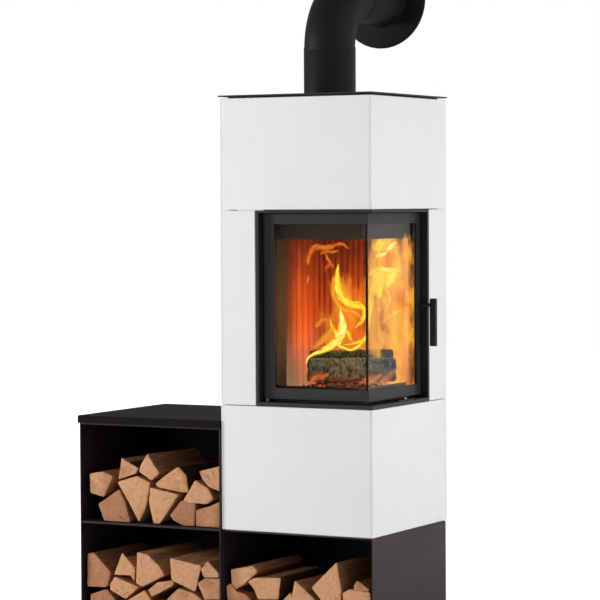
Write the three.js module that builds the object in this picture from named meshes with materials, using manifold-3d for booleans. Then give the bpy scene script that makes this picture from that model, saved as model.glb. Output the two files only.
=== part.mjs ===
// Tiled wood stove with a corner glass door, a log bench on its left and a flue pipe into the wall.
// Millimetres, +Z up. The origin is on the floor under the middle of the tiled column.
// The front faces -Y, the bench lies to -X, and the wall that the flue enters lies to +Y.
import * as THREE from 'three';
import { mergeVertices } from 'three/addons/utils/BufferGeometryUtils.js';
import Module from 'manifold-3d';

const wasm = await Module();
wasm.setup();

// ---------------------------------------------------------------- driving dimensions
const gap = 0.3;                 // left between pieces that touch
const past = 1;                  // how far a cut runs past what it cuts, or a join laps

// tiled column
const columnSize = 500;          // width and depth over the tiles
const boxHeight = 300;           // one log box, also the plinth of the column
const sheet = 3;                 // sheet of the log boxes
const plinthInset = 4;           // the plinth stands back from the tiles
const shadowGap = 3;             // dark line under the lowest tiles
const tileThickness = 20;
const tileJoint = 2;
const tileHeights = [367, 570, 326];
const tileBevel = 2;             // rounded top and bottom arris
const tileArris = 3;             // radius of the upright arris
const mitreNose = 6;             // width of the side tile's edge seen from the front
const mitreGap = 1;
const spacerHeight = 5;
const spacerInset = 20;
const topPlateThickness = 4;
const topPlateOverhang = 2.5;

// carrier frame behind the tiles
const angleLeg = 25;
const angleSheet = 4;
const carrierLedge = 12;         // how far the lowest flange reaches out under the tiles
const ledgeSheet = 2.4;

// sheet behind the column
const ventFromEdge = 60;         // a row of slots to the panel's edge
const ventSlots = 9;             // in one row
const ventPitch = 36;
const ventWidth = 8;
const ventHeight = 90;

// bench
const benchLength = 490;         // one box, along X
const benchGap = 0.5;            // bench to tiles
const benchFrontProud = 7;       // the boxes stand forward of the tiles
const benchBackInset = 1;
const benchTopThickness = 23;
const benchTopArris = 1;
const benchTopOverhang = 6.5;    // at the free end
const benchTopFrontLip = 1.5;
const trayFlange = 22;           // folded rim of a box's back panel
const traySheet = 2;

// opening and its steel surround
const openingFront = 380.5;      // from the near corner along the front
const openingSide = 377;         // from the near corner along the side
const jamb = 10;
const ledge = 11;
const head = 7;
const tileToSurround = 1;

// door
const doorRecess = 23;           // door face behind the tile face
const doorDepth = 30;
const hingeGap = 4;
const latchGap = 2.5;
const sillGap = 10;
const headGap = 2;
const railBar = 16;
const railLip = 15.5;
const hingeStileBar = 16.5;
const hingeStileLip = 19;
const latchStileBar = 16.5;
const latchStileLip = 8;
const lipThickness = 5;
const lipStep = 1;               // the glass lip of the hinge stile stands back a little
const glassThickness = 4;
const glassLap = 9;              // glass hidden behind a lip
const retainerThickness = 5;
const retainerWidth = 11;
const retainerHingeWidth = 15;
const retainerLatchWidth = 6;
const cornerBead = 4;
const beadRound = 0.7;           // share of the bead that its rounded side keeps
const sealWidth = 8;
const sealEdge = 4;              // seal to the outer edge of the door
const sealRoom = 8.3;            // door back to the face it closes on

// hinges
const hingeInX = 7.5;            // pin axis from the door's hinge edge
const hingeInY = 6;              // pin axis behind the door's face
const hingePinRadius = 3.5;
const hingeBushRadius = 6.5;
const hingePinReach = 20;        // into the door
const hingeFoot = 8;             // into the sill and head of the surround

// handle and latch
const stemRadius = 5;
const stemFromEdge = 7.5;        // stem axis to the latch edge of the door
const stemFloor = 2;             // door steel left behind the stem
const stemZ = 958;
const gripStandOff = 13.6;       // grip to the tile face
const gripWidth = 19.8;
const gripThickness = 14;
const gripLength = 142;
const gripAboveStem = 20;
const gripBevel = 2.5;
const gripSocket = 8;
const escutcheonRadius = 9;
const escutcheonThickness = 2.5;
const camHub = 7;
const camReach = 9.4;
const camThickness = 6;
const stemPastCam = 1;
const tongueHeight = 8;
const pocketDepth = 15;          // door face to the latch pocket
const pocketHeight = 24;
const keeperThickness = 2.5;
const keeperHeight = 50;

// air control
const airBarLength = 100;
const airBarWidth = 14;
const airBarThickness = 3.2;
const airTravel = 30;            // each way from rest
const airNeckLength = 16;
const airNeckWidth = 5;
const airFootWidth = 10;
const airFootHeight = 3.2;
const airKnobRadius = 6;
const airKnobHeight = 5;
const airKnobChamfer = 1.5;
const airY = -15;
const airFromFace = 13;          // bar axis to the tile face

// firebox
const bodyWall = 5;
const bodyLeftOfSurround = 4.5;
const bodyBehindSurround = 8;
const bodyTop = 1385;
const landWidth = 40;
const mouthInDoor = 36;
const hearthThickness = 24;
const liningThickness = 30;
const fluteDepth = 4;
const flutePitchSide = 32;
const flutePitchBack = 21;
const liningTop = 1215;
const returnDepth = 58;
const returnSheet = 3;
const lintelBottom = 1157;
const baffleThickness = 25;
const baffleThroat = 65;         // smoke passes in front of and beside the baffle
const grateSize = 170;
const grateThickness = 10;
const grateSlots = 7;
const grateSlotWidth = 9;
const grateSlotMargin = 12;      // slot end to the hearth's hole
const hearthHole = 150;
const wellDepth = 70;
const panHeight = 56;
const panSheet = 2;
const panGap = 1;                // hearth's hole to the pan, and to the well round it

// flue
const fluePipeRadius = 77;       // outside of a pipe of 150 mm bore
const flueWall = 2;
const elbowRadius = 75.5;
const elbowBend = 164;           // centreline radius
const spigotLength = 40;
const fluePipeTop = 1712;
const flueY = -25;
const elbowRise = 8;             // pipe top to the start of the bend
const wallDistance = 72;         // column back to the wall
const flueIntoWall = 28;
const rosetteRadius = 148;
const rosetteSheet = 2;
const rosetteDish = 9;           // depth of the disc
const rosetteRoll = 10;          // width of its rounded rim
const rosetteCollar = 22;        // reach of its neck along the pipe
const rosetteFillet = 3;         // neck to disc
const collarFlange = 95;
const collarHeight = 52;
const roundSegments = 40;
const pinSegments = 24;          // of pins, stems and knobs
const elbowSteps = 14;

// firewood and fire
const logEndInset = 8;           // front of a stack behind the box front
const logLength = 310;
const logDrawnWidth = 484;       // the box that the log outlines below are drawn for
const logDrawnHeight = 294;
const stackGrow = 1.14;          // closes the cracks, so that a stack is one body
const burningLogRadius = 50;
const burningLogLength = 260;
const burningLogTurn = 31;       // degrees from the front
const burningLogOffset = { x: 19, y: 28 };   // from the middle of the hearth
const burningLogSink = 4;        // into the embers
const emberHeight = 36;
const emberMarginX = 16;         // bare hearth beside the embers
const emberMarginY = 36;

// ---------------------------------------------------------------- places worked out from them
const half = columnSize / 2;
const tileInner = half - tileThickness;
const tileFloors = [boxHeight + shadowGap];
tileHeights.forEach((height, i) => tileFloors.push(tileFloors[i] + height + tileJoint));
const tileTops = tileHeights.map((height, i) => tileFloors[i] + height);
const columnTop = tileTops[2];

const surround = {
  x0: half - openingFront,
  y1: -half + openingSide,
  z0: tileTops[0] + tileToSurround,
  z1: tileTops[1],
};
const doorFace = half - doorRecess;
const doorBack = doorFace - doorDepth;
const land = doorBack - sealRoom;
const door = {
  x0: surround.x0 + jamb + hingeGap,
  y1: surround.y1 - jamb - latchGap,
  z0: surround.z0 + ledge + sillGap,
  z1: surround.z1 - head - headGap,
};
const hinge = { x: door.x0 + hingeInX, y: -doorFace + hingeInY };
const stemY = door.y1 - stemFromEdge;
const body = {
  x0: surround.x0 - bodyLeftOfSurround,
  y1: surround.y1 + bodyBehindSurround,
  z0: surround.z0,
  z1: bodyTop,
};
const inside = {
  x0: body.x0 + bodyWall + gap,
  y1: body.y1 - bodyWall - gap,
  far: land - bodyWall - gap,
};
const hearthTop = body.z0 + bodyWall + gap + hearthThickness;
const liningX = inside.x0 + liningThickness;
const liningY = inside.y1 - liningThickness;
const fire = { x: (liningX + inside.far) / 2, y: (liningY - inside.far) / 2 };
const elbowStart = fluePipeTop + elbowRise;
const flueAxisZ = elbowStart + elbowBend;
const elbowEndY = flueY + elbowBend;
const wallY = half + wallDistance;
const bench = {
  x0: -half - benchGap - benchLength,
  x1: -half - benchGap,
  y0: -half - benchFrontProud,
  y1: half - benchBackInset,
};

// ---------------------------------------------------------------- finishes
const finish = {
  tile: new THREE.MeshStandardMaterial({ color: 0xe6e4ea, roughness: 0.28, metalness: 0 }),
  blackSteel: new THREE.MeshStandardMaterial({ color: 0x2b2a2d, roughness: 0.5, metalness: 0.4 }),
  boxSteel: new THREE.MeshStandardMaterial({ color: 0x211d1e, roughness: 0.55, metalness: 0.4 }),
  benchTop: new THREE.MeshStandardMaterial({ color: 0x1f1c1b, roughness: 0.6, metalness: 0.2 }),
  fluePaint: new THREE.MeshStandardMaterial({ color: 0x4b484d, roughness: 0.6, metalness: 0.3 }),
  zincSteel: new THREE.MeshStandardMaterial({ color: 0x85878a, roughness: 0.45, metalness: 0.8 }),
  brightSteel: new THREE.MeshStandardMaterial({ color: 0xc9cacc, roughness: 0.2, metalness: 1 }),
  fireSteel: new THREE.MeshStandardMaterial({ color: 0x4a4236, roughness: 0.7, metalness: 0.5 }),
  castIron: new THREE.MeshStandardMaterial({ color: 0x35322f, roughness: 0.8, metalness: 0.5 }),
  lining: new THREE.MeshStandardMaterial({ color: 0xc9a582, roughness: 0.9, metalness: 0 }),
  rope: new THREE.MeshStandardMaterial({ color: 0x5a5854, roughness: 0.95, metalness: 0 }),
  glass: new THREE.MeshStandardMaterial({
    color: 0xd8dcda, roughness: 0.05, metalness: 0, transparent: true, opacity: 0.3,
  }),
  wood: new THREE.MeshStandardMaterial({ color: 0xc08a5c, roughness: 0.85, metalness: 0 }),
  char: new THREE.MeshStandardMaterial({ color: 0x4a4c44, roughness: 0.95, metalness: 0 }),
  ember: new THREE.MeshStandardMaterial({ color: 0xb4451c, roughness: 0.9, metalness: 0 }),
};

// ---------------------------------------------------------------- solids
function solidOf(geometry) {
  const bare = geometry.clone();
  bare.deleteAttribute('normal');
  bare.deleteAttribute('uv');
  const merged = mergeVertices(bare, 1e-4);
  const mesh = new wasm.Mesh({
    numProp: 3,
    vertProperties: new Float32Array(merged.attributes.position.array),
    triVerts: new Uint32Array(merged.index.array),
  });
  return new wasm.Manifold(mesh);
}

function geometryOf(solid) {
  const mesh = solid.getMesh();
  const geometry = new THREE.BufferGeometry();
  geometry.setAttribute('position', new THREE.BufferAttribute(mesh.vertProperties, 3));
  geometry.setIndex(new THREE.BufferAttribute(mesh.triVerts, 1));
  geometry.computeVertexNormals();
  return geometry;
}

const joined = (solids) => solids.reduce((whole, next) => whole.add(next));
const cut = (solid, tools) => tools.reduce((rest, tool) => rest.subtract(tool), solid);

function shapeOf(outline) {
  return new THREE.Shape(outline.map(([a, b]) => new THREE.Vector2(a, b)));
}

// An outline in x and y carried from one height to another, which it meets exactly.
function carried(outline, from, to) {
  const geometry = new THREE.ExtrudeGeometry(shapeOf(outline), { depth: 1, bevelEnabled: false });
  const position = geometry.attributes.position;
  for (let i = 0; i < position.count; i += 1) {
    position.setZ(i, position.getZ(i) > 0.5 ? to : from);
  }
  return geometry;
}

// The same with both ends rounded off.
function carriedRounded(outline, from, to, arris) {
  const geometry = new THREE.ExtrudeGeometry(shapeOf(outline), {
    depth: to - from - 2 * arris,
    bevelThickness: arris,
    bevelSize: arris,
    bevelOffset: -arris,
    bevelSegments: 2,
  });
  return geometry.translate(0, 0, from + arris);
}

// Turns x, y, z into z, x, y: what stood up lies along X.
const upToX = new THREE.Matrix4().set(0, 0, 1, 0, 1, 0, 0, 0, 0, 1, 0, 0, 0, 0, 0, 1);

const alongZ = (outline, z0, z1) => solidOf(carried(outline, z0, z1));
const alongZRounded = (outline, z0, z1, arris) => solidOf(carriedRounded(outline, z0, z1, arris));
const alongY = (outline, y0, y1) => solidOf(carried(outline, -y1, -y0).rotateX(Math.PI / 2));
const alongX = (outline, x0, x1) => solidOf(carried(outline, x0, x1).applyMatrix4(upToX));
const alongXRounded = (outline, x0, x1, arris) => (
  solidOf(carriedRounded(outline, x0, x1, arris).applyMatrix4(upToX))
);
const rectangle = (a0, a1, b0, b1) => [[a0, b0], [a1, b0], [a1, b1], [a0, b1]];
const block = (x0, x1, y0, y1, z0, z1) => alongZ(rectangle(x0, x1, y0, y1), z0, z1);
const blockAt = (x, y, halfX, halfY, z0, z1) => block(x - halfX, x + halfX, y - halfY, y + halfY, z0, z1);

// A profile of [radius, height] points turned about Z at (x, y).
function turnedZ(profile, x, y, segments = roundSegments) {
  const points = profile.map(([r, z]) => new THREE.Vector2(r, z));
  const geometry = new THREE.LatheGeometry(points, segments);
  return solidOf(geometry.rotateX(Math.PI / 2).translate(x, y, 0));
}

// A profile of [radius, distance] points turned about an axis along +Y.
function turnedY(profile, x, z, segments = roundSegments) {
  const points = profile.map(([r, y]) => new THREE.Vector2(r, y));
  return solidOf(new THREE.LatheGeometry(points, segments).translate(x, 0, z));
}

// A profile of [radius, distance] points turned about an axis along +X.
function turnedX(profile, y, z, segments = roundSegments) {
  const points = profile.map(([r, x]) => new THREE.Vector2(r, x));
  const geometry = new THREE.LatheGeometry(points, segments);
  return solidOf(geometry.rotateZ(-Math.PI / 2).translate(0, y, z));
}

const rod = (radius, from, to) => [[0, from], [radius, from], [radius, to], [0, to]];
const ring = (inner, outer, from, to) => [
  [inner, from], [outer, from], [outer, to], [inner, to], [inner, from],
];

// The plan of anything that runs round the near corner: two legs between an outer and an inner face.
function cornerPlan(outer, inner, x0, y1) {
  return [[x0, -outer], [outer, -outer], [outer, y1], [inner, y1], [inner, -inner], [x0, -inner]];
}

// A closed loop round the glass: two uprights and two rails that turn the near corner.
function cornerLoop({ outer, inner, x0, y1, z0, z1, left, right, bottom, top }) {
  return joined([
    alongZ(cornerPlan(outer, inner, x0, y1), z0, z0 + bottom),
    alongZ(cornerPlan(outer, inner, x0, y1), z1 - top, z1),
    block(x0, x0 + left, -outer, -inner, z0, z1),
    block(inner, outer, y1 - right, y1, z0, z1),
  ]);
}

// Round pieces on the axis of the door's hinge and on the axis of the handle's stem.
const onHinge = (profile) => turnedZ(profile, hinge.x, hinge.y, pinSegments);
const onStem = (profile) => turnedX(profile, stemY, stemZ, pinSegments);

const stove = new THREE.Group();

function addPart(name, solid, material, group = stove) {
  const mesh = new THREE.Mesh(geometryOf(solid), material);
  mesh.name = name;
  group.add(mesh);
}

// ---------------------------------------------------------------- log boxes and bench
// A box is a tube of sheet that opens to the front, closed behind by a folded tray.
function addLogBox(name, x0, x1, y0, y1, z0) {
  const within = (inset, front, back) => (
    block(x0 + inset, x1 - inset, front, back, z0 + inset, z0 + boxHeight - inset)
  );
  const shell = within(0, y0, y1).subtract(within(sheet, y0 - past, y1 + past));
  addPart(`${name}_shell`, shell, finish.boxSteel);
  const inset = sheet + gap;
  const tray = within(inset, y1 - trayFlange, y1 - gap).subtract(
    within(inset + traySheet, y1 - trayFlange - past, y1 - gap - traySheet),
  );
  addPart(`${name}_back`, tray, finish.boxSteel);
}

function addBench() {
  addLogBox('plinth_box', bench.x1 + gap, half - plinthInset, -half + plinthInset, half - plinthInset, 0);
  addLogBox('bench_lower', bench.x0, bench.x1, bench.y0, bench.y1, 0);
  addLogBox('bench_upper', bench.x0, bench.x1, bench.y0, bench.y1, boxHeight + gap);
  const slabFloor = 2 * boxHeight + 2 * gap;
  const slab = [
    [bench.x0 - benchTopOverhang, bench.y0 - benchTopFrontLip],
    [bench.x1, bench.y0 - benchTopFrontLip],
    [bench.x1, bench.y1],
    [bench.x0 - benchTopOverhang, bench.y1],
  ];
  const top = alongZRounded(slab, slabFloor, slabFloor + benchTopThickness, benchTopArris);
  addPart('bench_top', top, finish.benchTop);
}

// ---------------------------------------------------------------- carrier frame and tiles
// Angle rings at four levels on four corner posts; the corner over the glass carries no post.
function carrierFrame() {
  const outer = tileInner - gap;
  const inner = outer - angleLeg;
  const levels = [
    boxHeight + gap,
    surround.z0 - gap - angleLeg,
    tileFloors[2] + gap,
    columnTop - angleLeg - gap,
  ];
  const floorTop = columnTop - gap;
  const square = (r, z0, z1) => block(-r, r, -r, r, z0, z1);
  const frame = (from, to, z, height) => (
    square(to, z, z + height).subtract(square(from, z - past, z + height + past))
  );
  const rings = levels.map((z) => joined([
    frame(inner, outer, z, angleSheet),
    frame(outer - angleSheet, outer, z, angleLeg),
  ]));
  // One post of a corner, whose signs say which: two legs that meet at the frame's outer edge.
  const post = (signX, signY, z0, z1) => {
    const leg = (reachX, reachY) => blockAt(
      signX * (outer - reachX / 2), signY * (outer - reachY / 2), reachX / 2, reachY / 2, z0, z1,
    );
    return leg(angleLeg, angleSheet).add(leg(angleSheet, angleLeg));
  };
  const posts = [
    post(-1, -1, levels[0], floorTop),
    post(-1, 1, levels[0], floorTop),
    post(1, 1, levels[0], floorTop),
    post(1, -1, levels[0], levels[1] + angleLeg),
    post(1, -1, levels[2], floorTop),
  ];
  const bearer = (y) => block(-outer, outer, y, y + angleLeg, levels[1], levels[1] + angleLeg);
  const foot = frame(inner, outer + carrierLedge, levels[0], ledgeSheet);
  return joined([...rings, ...posts, foot, bearer(-land + angleLeg), bearer(body.y1 - 2 * angleLeg)]);
}

// The plan of one tile: u runs along its face and v into the column. A 'nose' end wraps the corner.
function tilePlan(u0, u1, end0, end1) {
  const rounded = (u, side) => {
    const steps = [0, 30, 60, 90].map((a) => THREE.MathUtils.degToRad(a));
    const arc = steps.map((a) => [u - side * tileArris * (1 - Math.sin(a)), tileArris * (1 - Math.cos(a))]);
    return side > 0 ? arc : arc.reverse();
  };
  const inner = (u, side, end) => (
    end === 'nose'
      ? [[u, mitreNose], [u - side * (tileThickness - mitreNose), tileThickness]]
      : [[u, tileThickness]]
  );
  const left = [...inner(u0, -1, end0).reverse(), ...rounded(u0, -1)];
  return [...rounded(u1, 1), ...inner(u1, 1, end1), ...left];
}

// What is taken off a front tile so that its end meets a nose: all beyond a line at 45 degrees.
function mitreWedge(u, side) {
  const far = u + side * tileThickness;
  const deep = tileThickness + past;
  return [[u + side * past, -past], [far, -past], [far, deep], [u - side * deep, deep]];
}

const tileFaces = {
  front: ([u, v]) => [u, -half + v],
  left: ([u, v]) => [-half + v, u],
  right: ([u, v]) => [half - v, u],
};

function addTiles() {
  const courses = ['lower', 'mid', 'upper'];
  const mitreEnd = half - mitreNose - mitreGap;
  const beside = surround.x0 - 2 * gap;
  const behind = surround.y1 + 2 * gap;
  courses.forEach((course, i) => {
    const open = course === 'mid';
    const tiles = {
      front: open ? [-mitreEnd, beside, 'mitre', 'square'] : [-mitreEnd, mitreEnd, 'mitre', 'mitre'],
      left: [-half, half, 'nose', 'square'],
      right: open ? [behind, half, 'square', 'square'] : [-half, half, 'nose', 'square'],
    };
    Object.entries(tiles).forEach(([face, [u0, u1, end0, end1]]) => {
      const spare = (end) => (end === 'mitre' ? tileArris + past : 0);
      const plan = tilePlan(u0 - spare(end0), u1 + spare(end1), end0, end1).map(tileFaces[face]);
      const wedges = [];
      if (end0 === 'mitre') wedges.push(mitreWedge(u0, -1));
      if (end1 === 'mitre') wedges.push(mitreWedge(u1, 1));
      const tools = wedges.map((wedge) => (
        alongZ(wedge.map(tileFaces[face]), tileFloors[i] - past, tileTops[i] + past)
      ));
      const whole = alongZRounded(plan, tileFloors[i], tileTops[i], tileBevel);
      addPart(`tile_${face}_${course}`, cut(whole, tools), finish.tile);
    });
  });
}

function addColumnTop() {
  const spacerEdge = half - spacerInset;
  const hole = fluePipeRadius + gap;
  const spacerFloor = columnTop + gap;
  const plateFloor = columnTop + spacerHeight;
  const plateEdge = half + topPlateOverhang;
  const pierced = (edge, z0, z1) => (
    blockAt(0, 0, edge, edge, z0, z1).subtract(turnedZ(rod(hole, z0 - past, z1 + past), 0, flueY))
  );
  addPart('top_spacer', pierced(spacerEdge, spacerFloor, plateFloor - gap), finish.blackSteel);
  addPart('top_plate', pierced(plateEdge, plateFloor, plateFloor + topPlateThickness), finish.blackSteel);
}

// Sheet behind the column, with two rows of upright slots that let warm air out.
function addRearPanel() {
  const edge = tileInner - 2 * gap;
  const middle = tileInner + sheet / 2;
  const rows = [tileFloors[0] + ventFromEdge, columnTop - ventFromEdge - ventHeight];
  const slots = rows.flatMap((z) => Array.from({ length: ventSlots }, (_, i) => {
    const x = (i - (ventSlots - 1) / 2) * ventPitch;
    return blockAt(x, middle, ventWidth / 2, sheet / 2 + past, z, z + ventHeight);
  }));
  const panel = blockAt(0, middle, edge, sheet / 2, tileFloors[0], columnTop - gap);
  addPart('rear_panel', cut(panel, slots), finish.blackSteel);
}

// ---------------------------------------------------------------- firebox
// Welded body, open round the near corner, with an ash well below and a flue hole above.
function addFirebox() {
  const wellOuter = hearthHole / 2 + panGap + panSheet;
  const wellInner = wellOuter - panSheet;
  const wellFloor = body.z0 - wellDepth;
  const dome = body.z1 - 2 * bodyWall;
  const mouth = block(
    body.x0 + landWidth,
    land + past,
    -land - past,
    body.y1 - landWidth,
    door.z0 + mouthInDoor,
    door.z1 - mouthInDoor,
  );
  const chamber = block(
    body.x0 + bodyWall,
    land - bodyWall,
    -land + bodyWall,
    body.y1 - bodyWall,
    body.z0 + bodyWall,
    body.z1 - bodyWall,
  );
  const solid = joined([
    block(body.x0, land, -land, body.y1, body.z0, body.z1),
    blockAt(fire.x, fire.y, wellOuter, wellOuter, wellFloor, body.z0 + past),
  ]);
  const shell = cut(solid, [
    chamber,
    blockAt(fire.x, fire.y, wellInner, wellInner, wellFloor + panSheet, dome),
    mouth,
    turnedZ(rod(fluePipeRadius - 2 * flueWall - gap, dome, body.z1 + past), 0, flueY),
  ]);
  addPart('firebox_body', shell, finish.fireSteel);

  const rebate = grateSize / 2 + gap;
  const hole = hearthHole / 2;
  const grateFloor = hearthTop - grateThickness;
  const hearthFloor = body.z0 + bodyWall + gap;
  const hearth = cut(block(inside.x0, inside.far, -inside.far, inside.y1, hearthFloor, hearthTop), [
    blockAt(fire.x, fire.y, hole, hole, body.z0, hearthTop + past),
    blockAt(fire.x, fire.y, rebate, rebate, grateFloor - gap, hearthTop + past),
  ]);
  addPart('hearth', hearth, finish.lining);
  const slotReach = hole - grateSlotMargin;
  const slots = Array.from({ length: grateSlots }, (_, i) => {
    const x = fire.x + (i - (grateSlots - 1) / 2) * 2 * grateSlotWidth;
    return blockAt(x, fire.y, grateSlotWidth / 2, slotReach, grateFloor - past, hearthTop + past);
  });
  const plate = blockAt(fire.x, fire.y, grateSize / 2, grateSize / 2, grateFloor, hearthTop);
  addPart('grate', cut(plate, slots), finish.castIron);

  const panHalf = hole - panGap;
  const panFloor = wellFloor + panSheet + gap;
  const panTop = panFloor + panHeight;
  const panInner = panHalf - panSheet;
  const pan = blockAt(fire.x, fire.y, panHalf, panHalf, panFloor, panTop).subtract(
    blockAt(fire.x, fire.y, panInner, panInner, panFloor + panSheet, panTop + past),
  );
  addPart('ash_pan', pan, finish.zincSteel);
}

// One ribbed face: half-round flutes between two ends, as [distance along, distance out] points.
function flutes(from, to, pitch) {
  const count = Math.max(1, Math.round((to - from) / pitch));
  const step = (to - from) / count;
  const points = [];
  for (let i = 0; i < count; i += 1) {
    for (let k = 0; k < 5; k += 1) {
      points.push([from + step * (i + k / 5), fluteDepth * Math.sin((Math.PI * k) / 5)]);
    }
  }
  points.push([to, 0]);
  return points;
}

function addLinings() {
  const floor = hearthTop + gap;
  const sideFront = -land + bodyWall + returnDepth;
  const sideBack = liningY - gap;
  const sideFace = flutes(sideFront, sideBack, flutePitchSide).map(([y, out]) => (
    [liningX - fluteDepth + out, y]
  ));
  const side = [[inside.x0, sideBack], [inside.x0, sideFront], ...sideFace];
  addPart('lining_side', alongZ(side, floor, liningTop), finish.lining);
  const backFace = flutes(inside.x0, inside.far, flutePitchBack).map(([x, out]) => (
    [x, liningY + fluteDepth - out]
  ));
  const back = [...backFace, [inside.far, inside.y1], [inside.x0, inside.y1]];
  addPart('lining_back', alongZ(back, floor, liningTop), finish.lining);
  const baffleFloor = liningTop + gap;
  const throat = inside.far - baffleThroat;
  const baffle = block(inside.x0, throat, -throat, inside.y1, baffleFloor, baffleFloor + baffleThickness);
  addPart('baffle', baffle, finish.lining);

  const lintelPlan = cornerPlan(inside.far, inside.far - returnSheet, inside.x0, sideBack);
  const edge = liningX + gap;
  const lap = lintelBottom + past;
  const lintel = joined([
    alongZ(lintelPlan, lintelBottom, door.z1),
    block(edge, edge + returnSheet, -inside.far, sideFront - gap, floor, lap),
    block(inside.x0, edge + returnSheet, -inside.far, -inside.far + returnSheet, floor, lap),
  ]);
  addPart('air_wash_lintel', lintel, finish.fireSteel);
}

// ---------------------------------------------------------------- surround
function addSurround() {
  const back = land + gap;
  const frame = cornerLoop({
    outer: half, inner: back, x0: surround.x0, y1: surround.y1, z0: surround.z0, z1: surround.z1,
    left: jamb, right: jamb, bottom: ledge, top: head,
  });
  const sill = surround.z0 + ledge;
  const airX = half - airFromFace;
  const neck = airNeckWidth / 2 + gap;
  const foot = airFootWidth / 2 + gap;
  const reach = airNeckLength / 2 + airTravel + gap;
  const slotFloor = surround.z0 - past;
  const footTop = surround.z0 + gap + airFootHeight + gap;
  const keeperX = doorFace - pocketDepth;
  const keeperFront = surround.y1 - jamb + gap;
  const keeperBack = keeperFront + keeperThickness;
  const upright = (halfHeight, x0, x1, y0, y1) => (
    block(x0, x1, y0, y1, stemZ - halfHeight, stemZ + halfHeight)
  );
  const shaped = cut(frame, [
    onHinge(rod(hingePinRadius + gap, sill - hingeFoot - gap, sill + past)),
    onHinge(rod(hingePinRadius + gap, surround.z1 - head - past, surround.z1 + past)),
    blockAt(airX, airY, neck, reach, slotFloor, sill + past),
    blockAt(airX, airY, foot, reach, slotFloor, footTop),
    upright(keeperHeight / 2 + gap, back - past, keeperX + gap, keeperFront - gap - past, keeperBack + gap),
  ]);
  addPart('door_surround', shaped, finish.blackSteel);

  const slotX0 = keeperX + gap - 2 * camThickness;
  const slotX1 = keeperX + gap - camThickness / 2;
  const keeper = upright(keeperHeight / 2, back, keeperX, keeperFront, keeperBack).subtract(
    upright(camReach, slotX0, slotX1, keeperFront - past, keeperBack + past),
  );
  addPart('latch_keeper', keeper, finish.zincSteel);
}

// ---------------------------------------------------------------- hinges
function addHinges() {
  const sill = surround.z0 + ledge;
  const bushTop = door.z0 - gap;
  const lower = onHinge([
    [0, sill - hingeFoot],
    [hingePinRadius, sill - hingeFoot],
    [hingePinRadius, sill + gap],
    [hingeBushRadius, sill + gap],
    [hingeBushRadius, bushTop],
    [hingePinRadius, bushTop],
    [hingePinRadius, door.z0 + hingePinReach],
    [0, door.z0 + hingePinReach],
  ]);
  addPart('hinge_pin_lower', lower, finish.brightSteel);
  const upper = onHinge(rod(hingePinRadius, door.z1 - hingePinReach, surround.z1 - gap));
  addPart('hinge_pin_upper', upper, finish.brightSteel);
}

// ---------------------------------------------------------------- door
function addDoor() {
  const lipBack = doorFace - lipThickness;
  const bars = cornerLoop({
    outer: doorFace, inner: doorBack, x0: door.x0, y1: door.y1, z0: door.z0, z1: door.z1,
    left: hingeStileBar, right: latchStileBar, bottom: railBar, top: railBar,
  });
  const lips = cornerLoop({
    outer: doorFace,
    inner: lipBack,
    x0: door.x0 + hingeStileBar - past,
    y1: door.y1 - past,
    z0: door.z0 + past,
    z1: door.z1 - past,
    left: past,
    right: latchStileBar + latchStileLip - past,
    bottom: railBar + railLip - past,
    top: railBar + railLip - past,
  });
  const hingeLip = block(
    door.x0 + hingeStileBar - past,
    door.x0 + hingeStileBar + hingeStileLip,
    -doorFace + lipStep,
    -lipBack,
    door.z0 + past,
    door.z1 - past,
  );
  const bore = hingePinRadius + gap;
  const camX = doorFace - pocketDepth;
  const pocketY = stemY - camHub - gap;
  const pocketZ = pocketHeight / 2;
  const frame = cut(joined([bars, lips, hingeLip]), [
    onHinge(rod(bore, door.z0 - past, door.z0 + hingePinReach + gap)),
    onHinge(rod(bore, door.z1 - hingePinReach - gap, door.z1 + past)),
    onStem(rod(stemRadius + gap, doorBack + stemFloor, doorFace + past)),
    block(camX - 2 * camThickness, camX, pocketY, door.y1 + past, stemZ - pocketZ, stemZ + pocketZ),
  ]);
  addPart('door_frame', frame, finish.blackSteel);

  const paneOuter = lipBack - gap;
  const paneInner = paneOuter - glassThickness;
  const paneX0 = door.x0 + hingeStileBar + hingeStileLip - glassLap;
  const paneY1 = door.y1 - latchStileBar - gap;
  const paneZ0 = door.z0 + railBar + railLip - glassLap;
  const paneZ1 = door.z1 - railBar - railLip + glassLap;
  addPart('glass_front', block(paneX0, paneOuter, -paneOuter, -paneInner, paneZ0, paneZ1), finish.glass);
  addPart('glass_side', block(paneInner, paneOuter, -paneInner + gap, paneY1, paneZ0, paneZ1), finish.glass);

  const retainer = cornerLoop({
    outer: paneInner - gap,
    inner: paneInner - gap - retainerThickness,
    x0: door.x0 + hingeStileBar + gap,
    y1: door.y1 - latchStileBar - gap,
    z0: door.z0 + railBar + gap,
    z1: door.z1 - railBar - gap,
    left: retainerHingeWidth,
    right: retainerLatchWidth,
    bottom: retainerWidth,
    top: retainerWidth,
  });
  addPart('glass_retainer', retainer, finish.blackSteel);

  const beadOuter = paneInner - gap;
  const bead = [
    [beadOuter, -beadOuter],
    [beadOuter, -beadOuter + cornerBead],
    [beadOuter - cornerBead * beadRound, -beadOuter + cornerBead * beadRound],
    [beadOuter - cornerBead, -beadOuter],
  ];
  const beadFloor = door.z0 + railBar + gap + retainerWidth + gap;
  const beadTop = door.z1 - railBar - gap - retainerWidth - gap;
  addPart('glass_corner_bead', alongZ(bead, beadFloor, beadTop), finish.rope);

  const seal = cornerLoop({
    outer: doorBack - gap,
    inner: land + gap,
    x0: door.x0 + sealEdge,
    y1: door.y1 - sealEdge,
    z0: door.z0 + sealEdge,
    z1: door.z1 - sealEdge,
    left: sealWidth,
    right: sealWidth,
    bottom: sealWidth,
    top: sealWidth,
  });
  addPart('door_seal', seal, finish.rope);
}

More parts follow.
